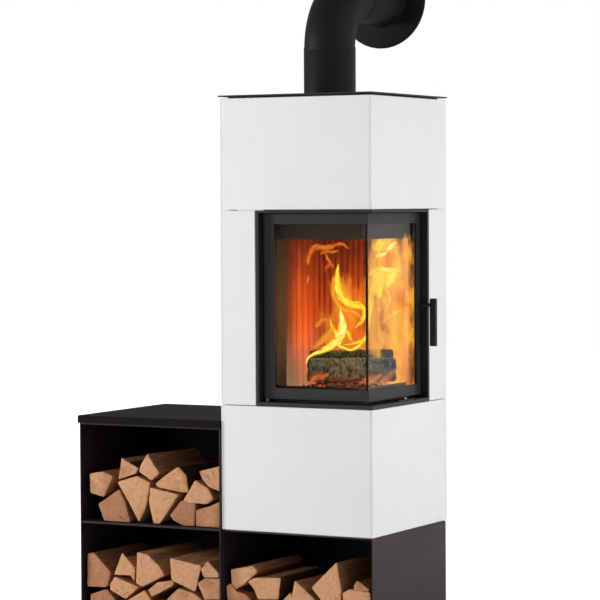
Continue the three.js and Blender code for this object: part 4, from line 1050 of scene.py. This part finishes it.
class STOVE_OT_burning_log(bpy.types.Operator):
    """Build the charred log that burns in the chamber, split in two"""

    bl_idname = "stove.burning_log"
    bl_label = "Burning log"

    turn: angle_setting("Turn", "Turn of the log from the front", 31)

    def execute(self, context):
        low, high = corners("burning_log")
        radius = (high[2] - low[2]) / 2
        length = (high[0] - low[0] - 2 * radius * sin(self.turn)) / cos(self.turn)
        front = self.split(length, (36 * MM, 35 * MM), (0.0, -12 * MM, -14 * MM), 5)
        back = self.split(length - 14 * MM, (21 * MM, 30 * MM), (3 * MM, 26 * MM, 14 * MM), 6)
        both = gathered([front, back])
        along = np.array([cos(self.turn), sin(self.turn), 0.0])
        across = np.array([-sin(self.turn), cos(self.turn), 0.0])
        x, y, z = both.points.T[..., None]
        both.points = (low + high) / 2 + x * along + y * across + z * (0, 0, 1)
        put("charred_log", both, char_finish(), replaces=["burning_log"], sharp=60)
        return {"FINISHED"}

    def split(self, length, half, centre, seed):
        """One piece: a block along X whose cracks part it into scales, 3 mm deep, half = (deep, high)."""
        rings = self.block(length, half)
        rng = np.random.default_rng(seed)
        flat = rings.reshape(-1, 3)
        cells = flat[rng.choice(len(flat), 190, replace=False)] + rng.normal(size=(190, 3)) * 2 * MM
        squeeze = np.array([1.0, 0.42, 0.42])
        gap = np.clip(cracks(rings * squeeze, cells * squeeze) / (3.4 * MM), 0, 1)
        outward = rings * (0.15, 1, 1)
        outward /= np.maximum(np.linalg.norm(outward, axis=-1), 1e-6)[..., None]
        relief = (gap ** 0.6 - 1) * 3.0 * MM + unevenness(rings, 30 * MM, 3) * 1.4 * MM
        rings = rings + outward * relief[..., None] + centre
        height = np.clip((rings[..., 2] + 50 * MM) / (100 * MM), 0, 1)
        return loft(rings, char=np.stack([gap, height, np.full_like(gap, centre[1] > 0)], -1))

    def block(self, length, half):
        """Sections |y/a|^n + |z/b|^n = 1 along X, with broken-off rounded ends."""
        turn = np.arange(140) / 140 * tau
        section = superellipse(turn, 2 / 4.2) * half
        edge = [(0, 0.3), (0, 0.62), (0, 0.86), (1.5 * MM, 0.94), (4 * MM, 0.985), (8 * MM, 1.0)]
        inner = [(along, 1.0) for along in np.linspace(10 * MM, length - 10 * MM, 140)]
        along, share = np.array([*edge, *inner, *((length - a, s) for a, s in edge[::-1])]).T
        rings = np.zeros((len(along), len(turn), 3))
        rings[..., 0] = (along - length / 2)[:, None]
        rings[..., 1:] = section * share[:, None, None]
        rings[..., 0] += unevenness(rings * (0, 1, 1), 26 * MM, 8) * 3 * MM * (share < 1)[:, None]
        return rings


class STOVE_OT_embers(bpy.types.Operator):
    """Heap the embers and strew a few loose coals on the hearth"""

    bl_idname = "stove.embers"
    bl_label = "Embers"

    def execute(self, context):
        finish = ember_finish(context.scene.stove.fire.ember_glow)
        low, high = corners("ember_bed")
        middle, reach = (low + high) / 2, (high - low) / 2
        middle[2] = low[2]
        put("ember_mound", self.mound(middle, reach), finish, replaces=["ember_bed"], sharp=60)
        put("loose_coals", self.coals(middle, reach), finish, sharp=50)
        return {"FINISHED"}

    def mound(self, middle, reach):
        """Height = top (1 - r^2.4)^0.8 plus a lump for each coal, over a flat underside."""
        rng = np.random.default_rng(21)
        turn = np.arange(170) / 170 * tau
        share = np.concatenate([np.linspace(0.02, 1, 84), np.linspace(0.97, 0.05, 8)])
        over = np.arange(len(share)) < 84
        ragged = 1 + unevenness(np.stack([np.cos(turn), np.sin(turn)], -1), 1.1, 4) * 0.05
        spread = share[:, None] * ragged
        x, y = spread * np.cos(turn) * reach[0], spread * np.sin(turn) * reach[1]
        top = 2 * reach[2] * 0.86 * np.clip(1 - share**2.4, 0, 1) ** 0.8
        rings = np.stack([x, y, np.where(over, top, 0.0)[:, None] + 0 * x], -1)
        count = 230
        cells = np.stack([
            rng.uniform(-1, 1, count) * reach[0],
            rng.uniform(-1, 1, count) * reach[1],
            rng.uniform(0, 30, count) * MM,
        ], -1)
        gap = np.clip(cracks(rings, cells) / (8 * MM), 0, 1)
        lump = (gap**0.5 * 8 - 5) * MM + unevenness(rings, 12 * MM, 9) * 1.5 * MM
        full = (over * np.clip((1 - share) * 9, 0, 1))[:, None]
        rings[..., 2] = np.maximum(rings[..., 2] + lump * full, 0.1 * MM * over[:, None])
        heat = np.broadcast_to(np.clip(1.15 - share, 0.15, 1)[:, None], gap.shape)
        return loft(rings + middle, coal=np.stack([gap, heat, 0 * gap], -1))

    def coals(self, middle, reach):
        """Small lumps: a ball of 9 by 12 points, pushed in and out and flattened underneath."""
        rng = np.random.default_rng(33)
        polar = np.linspace(0.15, pi - 0.15, 9)[:, None]
        turn = (np.arange(12) / 12 * tau)[None]
        ball = np.stack([
            np.sin(polar) * np.cos(turn), np.sin(polar) * np.sin(turn), np.cos(polar) + 0 * turn,
        ], -1)
        lumps = []
        for number in range(46):
            size = rng.uniform(4, 11) * MM * rng.uniform(0.6, 1.3, 3)
            way = rng.uniform(0, tau)
            away = rng.uniform(0.62, 1.12)
            place = middle + (away * reach[0] * cos(way), away * reach[1] * sin(way), size[2] * 0.7)
            place[2] += max(0.0, 1 - away**2.4) ** 0.8 * 2 * reach[2] * 0.8
            shape = ball * size * (1 + unevenness(ball, 1.4, 40 + number) * 0.35)[..., None]
            heat = rng.choice([0.1, 0.35, 0.9])
            kind = np.broadcast_to((rng.uniform(0, 0.5), heat, 0.0), ball.shape)
            lumps.append(loft(shape + place, coal=kind))
        return gathered(lumps)


# ---------------------------------------------------------------- flames
# Each flame: how far behind the middle of the hearth it burns, its heat from 0 (dull orange) to 1
# (white), how dense it is, and (across, height, half width) in millimetres along its middle line.
# 'Across' runs to the right at right angles to the camera's view, from the middle of the hearth.
FLAMES = {
    "tall": (0, 0.6, 1.0, [
        (-7, 1082, 1), (-9, 1066, 6), (-11, 1048, 11), (-11, 1028, 16), (-7, 1006, 19), (3, 986, 20),
        (18, 970, 18), (35, 960, 15), (50, 956, 10), (62, 954, 3),
    ]),
    "curl": (6, 0.5, 0.9, [
        (28, 966, 4), (44, 964, 11), (58, 958, 15), (68, 946, 13), (70, 930, 10), (62, 914, 8),
        (52, 902, 5), (43, 893, 2),
    ]),
    "tall_edge": (-6, 0.34, 0.45, [
        (-20, 1050, 2), (-24, 1022, 5), (-22, 992, 7), (-12, 966, 8), (6, 950, 8), (28, 942, 7),
        (48, 936, 6), (60, 926, 3),
    ]),
    "core": (-20, 0.86, 1.0, [
        (-2, 954, 1), (0, 938, 6), (3, 922, 10), (5, 905, 14), (3, 888, 18), (-2, 872, 20),
        (-6, 857, 17), (-10, 843, 9),
    ]),
    "core_foot": (-26, 0.62, 0.95, [
        (14, 880, 3), (2, 868, 12), (-12, 857, 14), (-28, 848, 11), (-44, 840, 6), (-58, 834, 2),
    ]),
    "ear": (-16, 0.52, 0.8, [
        (-8, 866, 3), (-16, 880, 9), (-24, 893, 8), (-30, 906, 6), (-32, 920, 2),
    ]),
    "leaf": (-14, 0.56, 0.85, [
        (4, 892, 2), (13, 885, 6), (22, 876, 9), (29, 864, 7), (34, 852, 2),
    ]),
    "left_lick": (-52, 0.7, 1.0, [
        (-103, 786, 1), (-101, 800, 4), (-93, 812, 6), (-78, 820, 7), (-62, 826, 9), (-46, 833, 12),
        (-31, 841, 13), (-18, 851, 12), (-9, 862, 8), (-6, 874, 2),
    ]),
    "left_haze": (-38, 0.28, 0.36, [
        (-84, 834, 3), (-68, 846, 10), (-54, 858, 14), (-40, 872, 15), (-28, 888, 11), (-18, 902, 4),
    ]),
    "left_puff": (-30, 0.24, 0.38, [
        (-74, 894, 3), (-68, 905, 10), (-60, 914, 10), (-48, 918, 7), (-38, 912, 3),
    ]),
    "left_puff_low": (-34, 0.24, 0.32, [
        (-60, 860, 3), (-50, 872, 10), (-40, 878, 10), (-30, 872, 4),
    ]),
    "right_lick": (-40, 0.62, 0.95, [
        (-14, 846, 3), (2, 838, 8), (18, 832, 7), (34, 832, 7), (48, 840, 8), (60, 850, 8),
        (69, 862, 7), (74, 878, 2),
    ]),
    "right_thread": (-34, 0.5, 0.8, [
        (6, 846, 2), (22, 845, 4), (40, 849, 5), (56, 856, 4), (68, 866, 2),
    ]),
    "wisp": (22, 0.04, 0.42, [
        (-97, 1080, 4), (-94, 1097, 11), (-89, 1114, 15), (-80, 1129, 17), (-66, 1132, 13),
        (-50, 1129, 11), (-34, 1132, 11), (-16, 1138, 10), (0, 1140, 9), (14, 1136, 7), (24, 1126, 3),
    ]),
    "wisp_thread": (24, 0.05, 0.4, [
        (-60, 1112, 3), (-42, 1118, 8), (-24, 1117, 8), (-6, 1122, 3),
    ]),
    "shred": (18, 0.04, 0.5, [
        (-44, 1112, 2), (-38, 1100, 9), (-32, 1090, 9), (-28, 1078, 3),
    ]),
    "shred_low": (20, 0.02, 0.35, [
        (-46, 1062, 3), (-40, 1074, 10), (-30, 1080, 11), (-20, 1072, 4),
    ]),
    "spark": (14, 0.12, 0.7, [
        (-98, 1022, 1), (-97, 1036, 5), (-95, 1050, 1),
    ]),
    "back_white": (50, 0.9, 0.9, [
        (138, 1122, 4), (145, 1129, 9), (152, 1135, 10), (158, 1140, 8), (164, 1144, 3),
    ]),
    "back_spot": (50, 0.84, 0.85, [
        (104, 1101, 4), (112, 1105, 9), (120, 1107, 9), (128, 1110, 7), (136, 1115, 3),
    ]),
    "back_shelf": (51, 0.7, 1.0, [
        (84, 1048, 4), (98, 1058, 9), (118, 1064, 12), (140, 1063, 12), (160, 1065, 11), (176, 1060, 5),
    ]),
    "back_rise": (44, 0.56, 0.8, [
        (88, 1010, 4), (90, 990, 12), (88, 965, 14), (86, 940, 11), (84, 915, 6), (84, 895, 2),
    ]),
    "back_drift": (48, 0.56, 0.45, [
        (128, 1010, 3), (140, 994, 9), (146, 976, 8), (140, 958, 6), (130, 940, 2),
    ]),
    "bed_two": (-88, 0.02, 0.35, [
        (-96, 738, 4), (-84, 747, 12), (-68, 754, 14), (-50, 756, 12), (-38, 764, 4),
    ]),
    "bed_four": (-70, 0.1, 0.32, [
        (52, 730, 4), (68, 738, 12), (88, 744, 15), (104, 750, 12), (116, 762, 4),
    ]),
    "bed_five": (-30, 0.16, 0.32, [
        (112, 734, 4), (124, 744, 13), (138, 752, 15), (150, 760, 10), (156, 772, 3),
    ]),
    "low_leaf": (55, 0.74, 0.85, [
        (132, 914, 2), (146, 927, 7), (162, 936, 9), (176, 941, 7), (187, 945, 2),
    ]),
    "low_leaf_thread": (54, 0.6, 0.5, [
        (150, 908, 1), (164, 914, 4), (176, 920, 4), (186, 924, 2),
    ]),
}
# Veils of glowing gas, in the same terms. The broad ones are painted glow: the side pane veil fills the side
# glass with painted firelight, and the corner and behind-log veils paint the halo of light round the flames.
HAZE_AND_PAINTED_GLOW = {
    "side_pane_painted_glow": (57, 0.47, 0.8, [
        (176, 1200, 106), (176, 1150, 110), (176, 1060, 112), (176, 960, 112), (176, 860, 112),
        (176, 760, 110), (176, 680, 108), (176, 640, 104),
    ]),
    "cloud": (55, 0.73, 1.15, [
        (84, 1118, 14), (104, 1130, 27), (128, 1134, 33), (150, 1126, 27), (170, 1110, 12),
    ]),
    "column": (53, 0.72, 1.0, [
        (158, 1136, 10), (166, 1106, 18), (166, 1078, 19), (160, 1052, 18), (148, 1028, 12), (140, 1006, 4),
    ]),
    "wedge": (50, 0.7, 1.05, [
        (132, 1074, 44), (128, 1050, 46), (120, 1024, 38), (110, 1000, 26), (100, 972, 14),
    ]),
    "corner": (20, 0.52, 0.35, [
        (100, 1200, 24), (98, 1120, 30), (98, 1020, 34), (98, 920, 34), (100, 830, 30), (104, 770, 24),
    ]),
    "behind_log_painted_glow": (66, 0.36, 0.36, [
        (20, 1060, 70), (20, 980, 95), (22, 900, 110), (24, 820, 115), (26, 760, 100),
    ]),
    "round_tongue": (26, 0.36, 0.42, [
        (-10, 1095, 10), (-12, 1050, 24), (-6, 1000, 34), (14, 960, 40), (6, 900, 46), (-4, 850, 44),
        (-10, 815, 30),
    ]),
}
FLAME_POINTS = 64
FLAME_THICKNESS = 0.55    # share of a tongue's half width
VEIL_THICKNESS = 0.06
# The fire's own lights: name, across, height, behind and share of the firelight.
FIRELIGHTS = (
    ("log", -8, 872, 52, 1.15), ("tall", 6, 980, 46, 1.0), ("back", 120, 1050, 30, 0.6),
    ("side", 146, 930, 46, 0.35), ("low", 20, 800, -110, 0.32),
)


def flame_finish(glow_strength):
    """Fire: bright and dense in the middle of each tongue, streaked along it and torn at its edges."""
    f = Finish("Flame", Roughness=1.0, Specular_IOR_Level=0.0, Emission_Strength=glow_strength)
    f.shade("Base Color", (0, 0, 0))
    along, across, width = f.xyz(f.kept("flow"))
    heat, density, part = f.xyz(f.kept("burn"))
    wide = f.add("CombineXYZ", {0: along, 1: f.times(across, width), 2: part}).outputs[0]
    curl = f.minus(f.noise(f.scaled(wide, (0.8, 1.0, 1.0)), 0.020, 2.0), 0.5)
    bent = f.plus(across, f.times(curl, 1.5))
    streak = f.noise(f.scaled(wide, (0.5, 2.4, 1.0)), 0.013, 4.0)
    tear = f.noise(wide, 0.008, 5.0, 0.7)
    middle = f.minus(1.0, f.maths("POWER", f.maths("ABSOLUTE", bent), 1.7))
    body = f.plus(middle, f.times(f.minus(streak, 0.5), 1.5))
    body = f.plus(body, f.times(f.minus(tear, 0.5), 0.6))
    edge = f.between(f.maths("ABSOLUTE", across), 0.55, 1.0, 1.0, 0.0)
    cover = f.times(f.between(body, 0.0, 1.1), edge)
    f.shade("Alpha", f.times(cover, f.times(density, 0.95), clamp=True))
    warmth = f.plus(f.times(f.between(body, 0.1, 1.4), 0.40), f.times(heat, 0.72))
    f.shade("Emission Color", fire_colour(f, warmth))
    return f.material


def haze_and_painted_glow_finish(glow_strength):
    """Glowing gas round the flames, and painted glow of firelight over the chamber and the side glass: an
    uneven veil with torn edges.
    """
    f = Finish("Fire haze", Roughness=1.0, Specular_IOR_Level=0.0, Emission_Strength=glow_strength)
    f.shade("Base Color", (0, 0, 0))
    across = f.xyz(f.kept("flow"))[1]
    heat, density, end = f.xyz(f.kept("burn"))
    place = f.scaled(f.object_place(), (1.0, 1.0, 0.45))
    cloud = f.noise(place, 0.036, 4.0)
    wisp = f.noise(place, 0.010, 4.0, 0.65)
    uneven = f.between(f.plus(f.times(cloud, 0.7), f.times(wisp, 0.3)), 0.3, 0.7)
    edge = f.times(f.between(f.maths("ABSOLUTE", across), 0.15, 0.98, 1.0, 0.0), end)
    torn = f.plus(edge, f.between(uneven, 0.0, 1.0, -0.42, 0.42))
    cover = f.times(f.between(torn, 0.18, 0.95), f.between(edge, 0.0, 0.2))
    f.shade("Alpha", f.times(cover, density, clamp=True))
    warmth = f.plus(heat, f.between(uneven, 0.0, 1.0, -0.08, 0.10))
    f.shade("Emission Color", fire_colour(f, warmth))
    return f.material


def fire_colour(f, warmth):
    """From dull red through orange and yellow to white."""
    ramp = f.add("ValToRGB", {0: warmth})
    stops = (
        (0.05, (0.50, 0.04, 0.008)), (0.28, (0.80, 0.15, 0.012)), (0.50, (0.90, 0.36, 0.03)),
        (0.74, (0.93, 0.72, 0.03)), (1.0, (1.0, 0.93, 0.42)),
    )
    for position, _ in stops[1:-1]:
        ramp.color_ramp.elements.new(position)
    for element, (position, colour) in zip(ramp.color_ramp.elements, stops):
        element.position = position
        element.color = (*colour, 1.0)
    return ramp.outputs[0]


def view_axes(stage):
    """The level directions along the camera's view and to its right."""
    yaw = stage.camera_yaw
    return np.array([-sin(yaw), cos(yaw), 0.0]), np.array([cos(yaw), sin(yaw), 0.0])


class STOVE_OT_flames(bpy.types.Operator):
    """Build the flames and the light that they throw"""

    bl_idname = "stove.flames"
    bl_label = "Flames"

    def execute(self, context):
        stove = context.scene.stove
        self.view, self.right = view_axes(stove.stage)
        self.centre = fire_centre() * (1, 1, 0)
        tongues = gathered([self.tongue(*flame) for flame in FLAMES.values()])
        put("flames", self.indoors(tongues), flame_finish(stove.fire.flame_glow), sharp=180)
        # The veils: haze of glowing gas, and painted glow of the firelight in the chamber and the side glass.
        veils = gathered([self.tongue(*veil, thickness=VEIL_THICKNESS) for veil in HAZE_AND_PAINTED_GLOW.values()])
        put("fire_haze", self.indoors(veils), haze_and_painted_glow_finish(stove.fire.flame_glow), sharp=180)
        for name, across, height, behind, share in FIRELIGHTS:
            place = self.place(across, height, behind)
            self.add_light(context, f"firelight_{name}", place, share, stove.fire)
        return {"FINISHED"}

    def indoors(self, shell):
        """Keeps a shell between the linings and the glass, above the hearth."""
        low = np.array([
            corners("lining_side")[1][0] + 2 * MM,
            corners("glass_front")[1][1] + 4 * MM,
            corners("ember_bed")[0][2],
        ])
        high = np.array([
            corners("glass_side")[0][0] - 2.5 * MM,
            corners("glass_retainer")[1][1] - 7 * MM,
            corners("firebox_body")[1][2],
        ])
        shell.points = np.clip(shell.points, low, high)
        return shell

    def place(self, across, height, behind):
        """A point from its distance across the view, its height and its distance behind the middle."""
        rise = np.array([0, 0, height])
        return self.centre + (self.right * across + self.view * behind + rise) * MM

    def tongue(self, behind, heat, density, middle_line, thickness=FLAME_THICKNESS):
        """A flattened tube about a smooth curve: half width from the curve, thickness a share of it.

        'flow' holds the arc length, the share of the half width and the half width. 'burn' holds heat,
        density and, for a flame, a number that sets its noise apart or, for a veil, how far both ends are.
        """
        line = smooth_curve(middle_line, FLAME_POINTS)
        rise = np.array([0, 0, 1]) * line[:, 1:2]
        path = self.centre + (self.right * line[:, :1] + self.view * behind + rise) * MM
        turn = np.arange(32) / 32 * tau
        width = np.maximum(line[:, 2], 0.5)[:, None] * MM
        section = np.stack([np.sin(turn) * width * thickness, np.cos(turn) * width], -1)
        step = np.linalg.norm(np.diff(path, axis=0), axis=1)
        along = np.concatenate([[0], np.cumsum(step)])[:, None] + 0 * turn
        flow = np.stack([along, np.cos(turn) + 0 * along, width + 0 * turn], -1)
        share = np.linspace(0, 1, FLAME_POINTS)[:, None]
        end = np.clip(np.minimum(share, 1 - share) * 5, 0, 1) + 0 * along
        part = np.full_like(along, behind * 0.37 + heat) if thickness == FLAME_THICKNESS else end
        burn = np.stack([np.full_like(along, heat), np.full_like(along, density), part], -1)
        return swept(path, section, np.tile(self.view, (FLAME_POINTS, 1)), flow=flow, burn=burn)

    def add_light(self, context, name, place, share, fire):
        data = bpy.data.lights.new(name, "POINT")
        data.energy = fire.fire_light * share
        data.color = fire.fire_colour
        data.shadow_soft_size = 0.035
        light = bpy.data.objects.new(name, data)
        context.scene.collection.objects.link(light)
        light.location = place.tolist()
        light.visible_camera = False
        light.visible_glossy = False
        light.visible_transmission = False


# ---------------------------------------------------------------- handle, seal and small parts
class STOVE_OT_fittings(bpy.types.Operator):
    """Build the handle's grip, the air knob, the rope seal and the screws of the rear panel"""

    bl_idname = "stove.fittings"
    bl_label = "Fittings"

    def execute(self, context):
        colours = context.scene.stove.finish
        steel = painted_finish("Fittings steel", colours.door_steel, 0.42)
        bright = metal_finish("Turned steel", (0.78, 0.78, 0.77), 0.18)
        low, high = corners("handle_grip")
        grip = put("handle_grip_bar", self.bar(low, high), steel, "handle", ["handle_grip"])
        # The photo's side glass shows no mirror image of the grip.
        grip.visible_glossy = False
        low, high = corners("air_slide_knob")
        middle = (low + high) / 2
        profile = self.knob_profile((high[0] - low[0]) / 2, low[2], high[2])
        knob = turned(profile, middle * (1, 1, 0), (0, 0, 1), loop=False)
        put("air_slide_knob_turned", knob, bright, "air_control", ["air_slide_knob"])
        put("door_seal_rope", self.rope(), rope_finish(), "door", ["door_seal"])
        put("rear_panel_screws", self.screws(), bright)
        return {"FINISHED"}

    def bar(self, low, high):
        """A bar with every edge rounded: superellipse sections along Z that shrink over the last 3 mm."""
        middle, reach = (low + high) / 2, (high - low) / 2
        turn = (np.arange(AROUND) + 0.5) / AROUND * tau
        shape = superellipse(turn, 2 / 7)
        round_end = 3.0 * MM
        bend = np.linspace(0.02, pi / 2, 9)
        rise, inset = round_end * (1 - np.cos(bend)), round_end * (1 - np.sin(bend))
        rise = np.concatenate([rise, 2 * reach[2] - rise[::-1]])
        inset = np.concatenate([inset, inset[::-1]])
        rings = np.zeros((len(rise), len(turn), 3))
        rings[..., 0] = middle[0] + shape[:, 0] * (reach[0] - inset)[:, None]
        rings[..., 1] = middle[1] + shape[:, 1] * (reach[1] - inset)[:, None]
        rings[..., 2] = (low[2] + rise)[:, None]
        return loft(rings)

    def knob_profile(self, radius, low, high):
        """A button with a waist and a soft rim, from axis to axis."""
        height = high - low
        return [
            (0.02 * radius, low), (0.72 * radius, low), (0.74 * radius, low + 0.22 * height),
            (0.97 * radius, low + 0.34 * height), (radius, low + 0.42 * height), (radius, low + 0.8 * height),
            (0.95 * radius, low + 0.92 * height), (0.86 * radius, high), (0.5 * radius, high - 0.1 * MM),
            (0.02 * radius, high - 0.2 * MM),
        ]

    def rope(self):
        """The seal's middle line: a closed path round both windows that turns the near corner."""
        low, high = corners("door_seal")
        thick = 7.7 * MM
        inset = 4 * MM
        face = high[0] - thick / 2
        ends = (low[2] + inset, high[2] - inset)
        left, right = low[0] + inset, high[1] - inset
        route = [(left, -face, ends[0]), (face, -face, ends[0]), (face, right, ends[0]),
                 (face, right, ends[1]), (face, -face, ends[1]), (left, -face, ends[1])]
        path = resampled(route, 900, 9 * MM)
        turn_room = 12 * MM
        towards = np.stack([
            np.clip(path[:, 0] - (face - turn_room), 0, None),
            -np.clip(-path[:, 1] - (face - turn_room), 0, None),
            np.zeros(len(path)),
        ], -1)
        towards += np.array([0.0, -1e-4, 0.0])
        towards /= np.linalg.norm(towards, axis=1)[:, None]
        turn = np.arange(14) / 14 * tau
        section = np.stack([np.cos(turn), np.sin(turn)], -1) * thick / 2
        stride = np.linspace(0, tau * 260, len(path), endpoint=False)
        braid = np.zeros((len(path), len(turn), 3))
        braid[..., 0] = turn * 2
        braid[..., 1] = stride[:, None]
        return swept(path, section, towards, loop=True, braid=braid)

    def screws(self):
        """Pan heads round the edge of the rear panel, each with a shallow dished drive."""
        low, high = corners("rear_panel")
        inset = 12 * MM
        rows = np.linspace(low[2] + 25 * MM, high[2] - 25 * MM, 4)
        head = [
            (0.2, 0.0), (4.0, 0.0), (4.0, 0.6), (3.6, 1.6), (2.8, 2.2), (1.6, 2.3), (1.4, 1.3), (0.2, 1.2),
        ]
        profile = np.array(head) * MM
        return gathered([
            turned(profile, np.array([x, high[1] + 0.1 * MM, z]), (0, 1, 0), 24, False)
            for x in (low[0] + inset, high[0] - inset) for z in rows
        ])


# ---------------------------------------------------------------- camera, floor and light
# The soft lights: name, which also names the setting of its power, place, aim and width.
SOFT_LIGHTS = (
    ("front_light", (-1.6, -5.2, 2.3), (-0.1, 0.0, 0.9), 3.6),
    ("side_light", (4.6, 0.6, 2.2), (0.2, 0.0, 1.0), 3.2),
    ("near_light", (1.25, 0.05, 0.8), (0.25, 0.05, 0.8), 0.7),
    ("strip_light", (-4.6, -2.7, 1.7), (0.0, 0.0, 1.4), 1.3),
)


class STOVE_OT_stage(bpy.types.Operator):
    """Set up the camera, the pale floor and the soft studio light"""

    bl_idname = "stove.stage"
    bl_label = "Stage"

    def execute(self, context):
        stage = context.scene.stove.stage
        context.scene.view_settings.view_transform = "Standard"
        self.add_camera(context, stage)
        self.add_floor(context, stage)
        self.add_world(context, stage)
        for name, place, target, size in SOFT_LIGHTS:
            light = self.add_soft_light(context, name, place, target, size, getattr(stage, name))
            light.visible_glossy = name == "strip_light"
        return {"FINISHED"}

    def add_camera(self, context, stage):
        data = bpy.data.cameras.new("camera")
        data.sensor_width = 36
        data.lens = stage.camera_lens
        camera = bpy.data.objects.new("camera", data)
        context.scene.collection.objects.link(camera)
        forward, right = view_axes(stage)
        up = np.array([0.0, 0.0, 1.0])
        look = forward * cos(stage.camera_pitch) - up * sin(stage.camera_pitch)
        top = up * cos(stage.camera_pitch) + forward * sin(stage.camera_pitch)
        side = right * cos(stage.camera_roll) + top * sin(stage.camera_roll)
        over = top * cos(stage.camera_roll) - right * sin(stage.camera_roll)
        turn = np.eye(4)
        turn[:3, :4] = np.stack([side, over, -look, np.array(stage.camera_place)], -1)
        camera.matrix_world = Matrix(turn.tolist())
        context.scene.camera = camera

    def add_floor(self, context, stage):
        reach, count = 14.0, 41
        x, y = np.meshgrid(np.linspace(-reach, reach, count), np.linspace(-reach, reach, count))
        points = np.stack([x, y, np.full_like(x, -0.5 * MM)], -1).reshape(-1, 3)
        index = np.arange(count * count).reshape(count, count)
        quads = np.stack([index[:-1, :-1], index[:-1, 1:], index[1:, 1:], index[1:, :-1]], -1).reshape(-1, 4)
        mesh = bpy.data.meshes.new("floor")
        mesh.from_pydata(points.tolist(), [], quads.tolist())
        f = Finish("Studio floor", Roughness=0.8, Specular_IOR_Level=0.1, Emission_Strength=1.0)
        away = f.length(f.object_place())
        near = shaded(stage.backdrop, 0.64)
        pale = f.tint(f.between(away, 0.9, 3.4), near, stage.backdrop)
        path = f.add("LightPath")
        behind = f.between(f.xyz(f.object_place())["Y"], 0.3, 1.5)
        mirrored = f.times(path.outputs["Is Glossy Ray"], f.times(behind, 0.4))
        seen = f.maths("MAXIMUM", path.outputs["Is Camera Ray"], mirrored)
        f.shade("Emission Color", f.tint(seen, (0, 0, 0), pale))
        tone = f.noise(f.object_place(), 0.6, 3.0)
        f.shade("Base Color", f.tint(tone, stage.floor_tone, [min(1.0, c * 1.02) for c in stage.floor_tone]))
        mesh.materials.append(f.material)
        floor = bpy.data.objects.new("floor", mesh)
        context.scene.collection.objects.link(floor)

    def add_world(self, context, stage):
        """White to the eye; as light, bright behind and to the right and dimmer before the stove."""
        world = bpy.data.worlds.new("studio")
        context.scene.world = world
        world.use_nodes = True
        w = Wiring(world.node_tree)
        out = world.node_tree.nodes["World Output"]
        seen = world.node_tree.nodes["Background"]
        w.feed(seen.inputs["Color"], stage.backdrop)
        direction = w.add("TexCoord").outputs["Generated"]
        towards = {0: direction, 1: (0.55, 0.80, 0.25)}
        bright_way = w.add("VectorMath", towards, operation="DOT_PRODUCT").outputs["Value"]
        level = w.between(bright_way, -0.7, 0.8, 0.16, 0.74)
        height = w.xyz(direction)[2]
        level = w.times(level, w.between(height, 0.15, 0.9, 1.0, 0.3))
        lighting = w.add("Background", {"Color": (1.0, 1.0, 1.0), "Strength": level})
        eye = w.add("LightPath").outputs["Is Camera Ray"]
        both = w.add("MixShader", {0: eye, 1: lighting.outputs[0], 2: seen.outputs[0]})
        w.feed(out.inputs["Surface"], both.outputs[0])

    def add_soft_light(self, context, name, place, target, size, power):
        data = bpy.data.lights.new(name, "AREA")
        data.shape = "DISK"
        data.size = size
        data.energy = power
        light = bpy.data.objects.new(name, data)
        context.scene.collection.objects.link(light)
        back = np.array(place) - np.array(target)
        back /= np.linalg.norm(back)
        side = np.cross((0.0, 0.0, 1.0), back)
        side /= np.linalg.norm(side)
        turn = np.eye(4)
        turn[:3, :4] = np.stack([side, np.cross(back, side), back, np.array(place)], -1)
        light.matrix_world = Matrix(turn.tolist())
        light.visible_glossy = False
        light.visible_transmission = False
        light.visible_camera = False
        return light


class STOVE_PT_panel(bpy.types.Panel):
    """Sizes, colours and steps of the stove"""

    bl_idname = "STOVE_PT_panel"
    bl_label = "Tiled stove"
    bl_space_type = "VIEW_3D"
    bl_region_type = "UI"
    bl_category = "Stove"

    def draw(self, context):
        for operator in OPERATORS:
            self.layout.operator(operator.bl_idname)
        for group in (getattr(context.scene.stove, name) for name in ("stage", "finish", "wood", "fire")):
            box = self.layout.box()
            for name in group.__annotations__:
                box.prop(group, name)


GROUPS = (StageSettings, FinishSettings, WoodSettings, FireSettings, StoveSettings)
OPERATORS = (
    STOVE_OT_stage,
    STOVE_OT_finishes,
    STOVE_OT_flue,
    STOVE_OT_linings,
    STOVE_OT_firewood,
    STOVE_OT_burning_log,
    STOVE_OT_embers,
    STOVE_OT_flames,
    STOVE_OT_fittings,
)


def register():
    for group in (*GROUPS, *OPERATORS, STOVE_PT_panel):
        bpy.utils.register_class(group)
    bpy.types.Scene.stove = PointerProperty(type=StoveSettings, name="Stove", description="The tiled stove")


def unregister():
    del bpy.types.Scene.stove
    for group in reversed((*GROUPS, *OPERATORS, STOVE_PT_panel)):
        bpy.utils.unregister_class(group)


def main():
    """Registers the add-on and runs its steps in order."""
    register()
    add_effects()
    for operator in OPERATORS:
        family, step = operator.bl_idname.split(".")
        getattr(getattr(bpy.ops, family), step)()


if __name__ == "__main__":
    main()
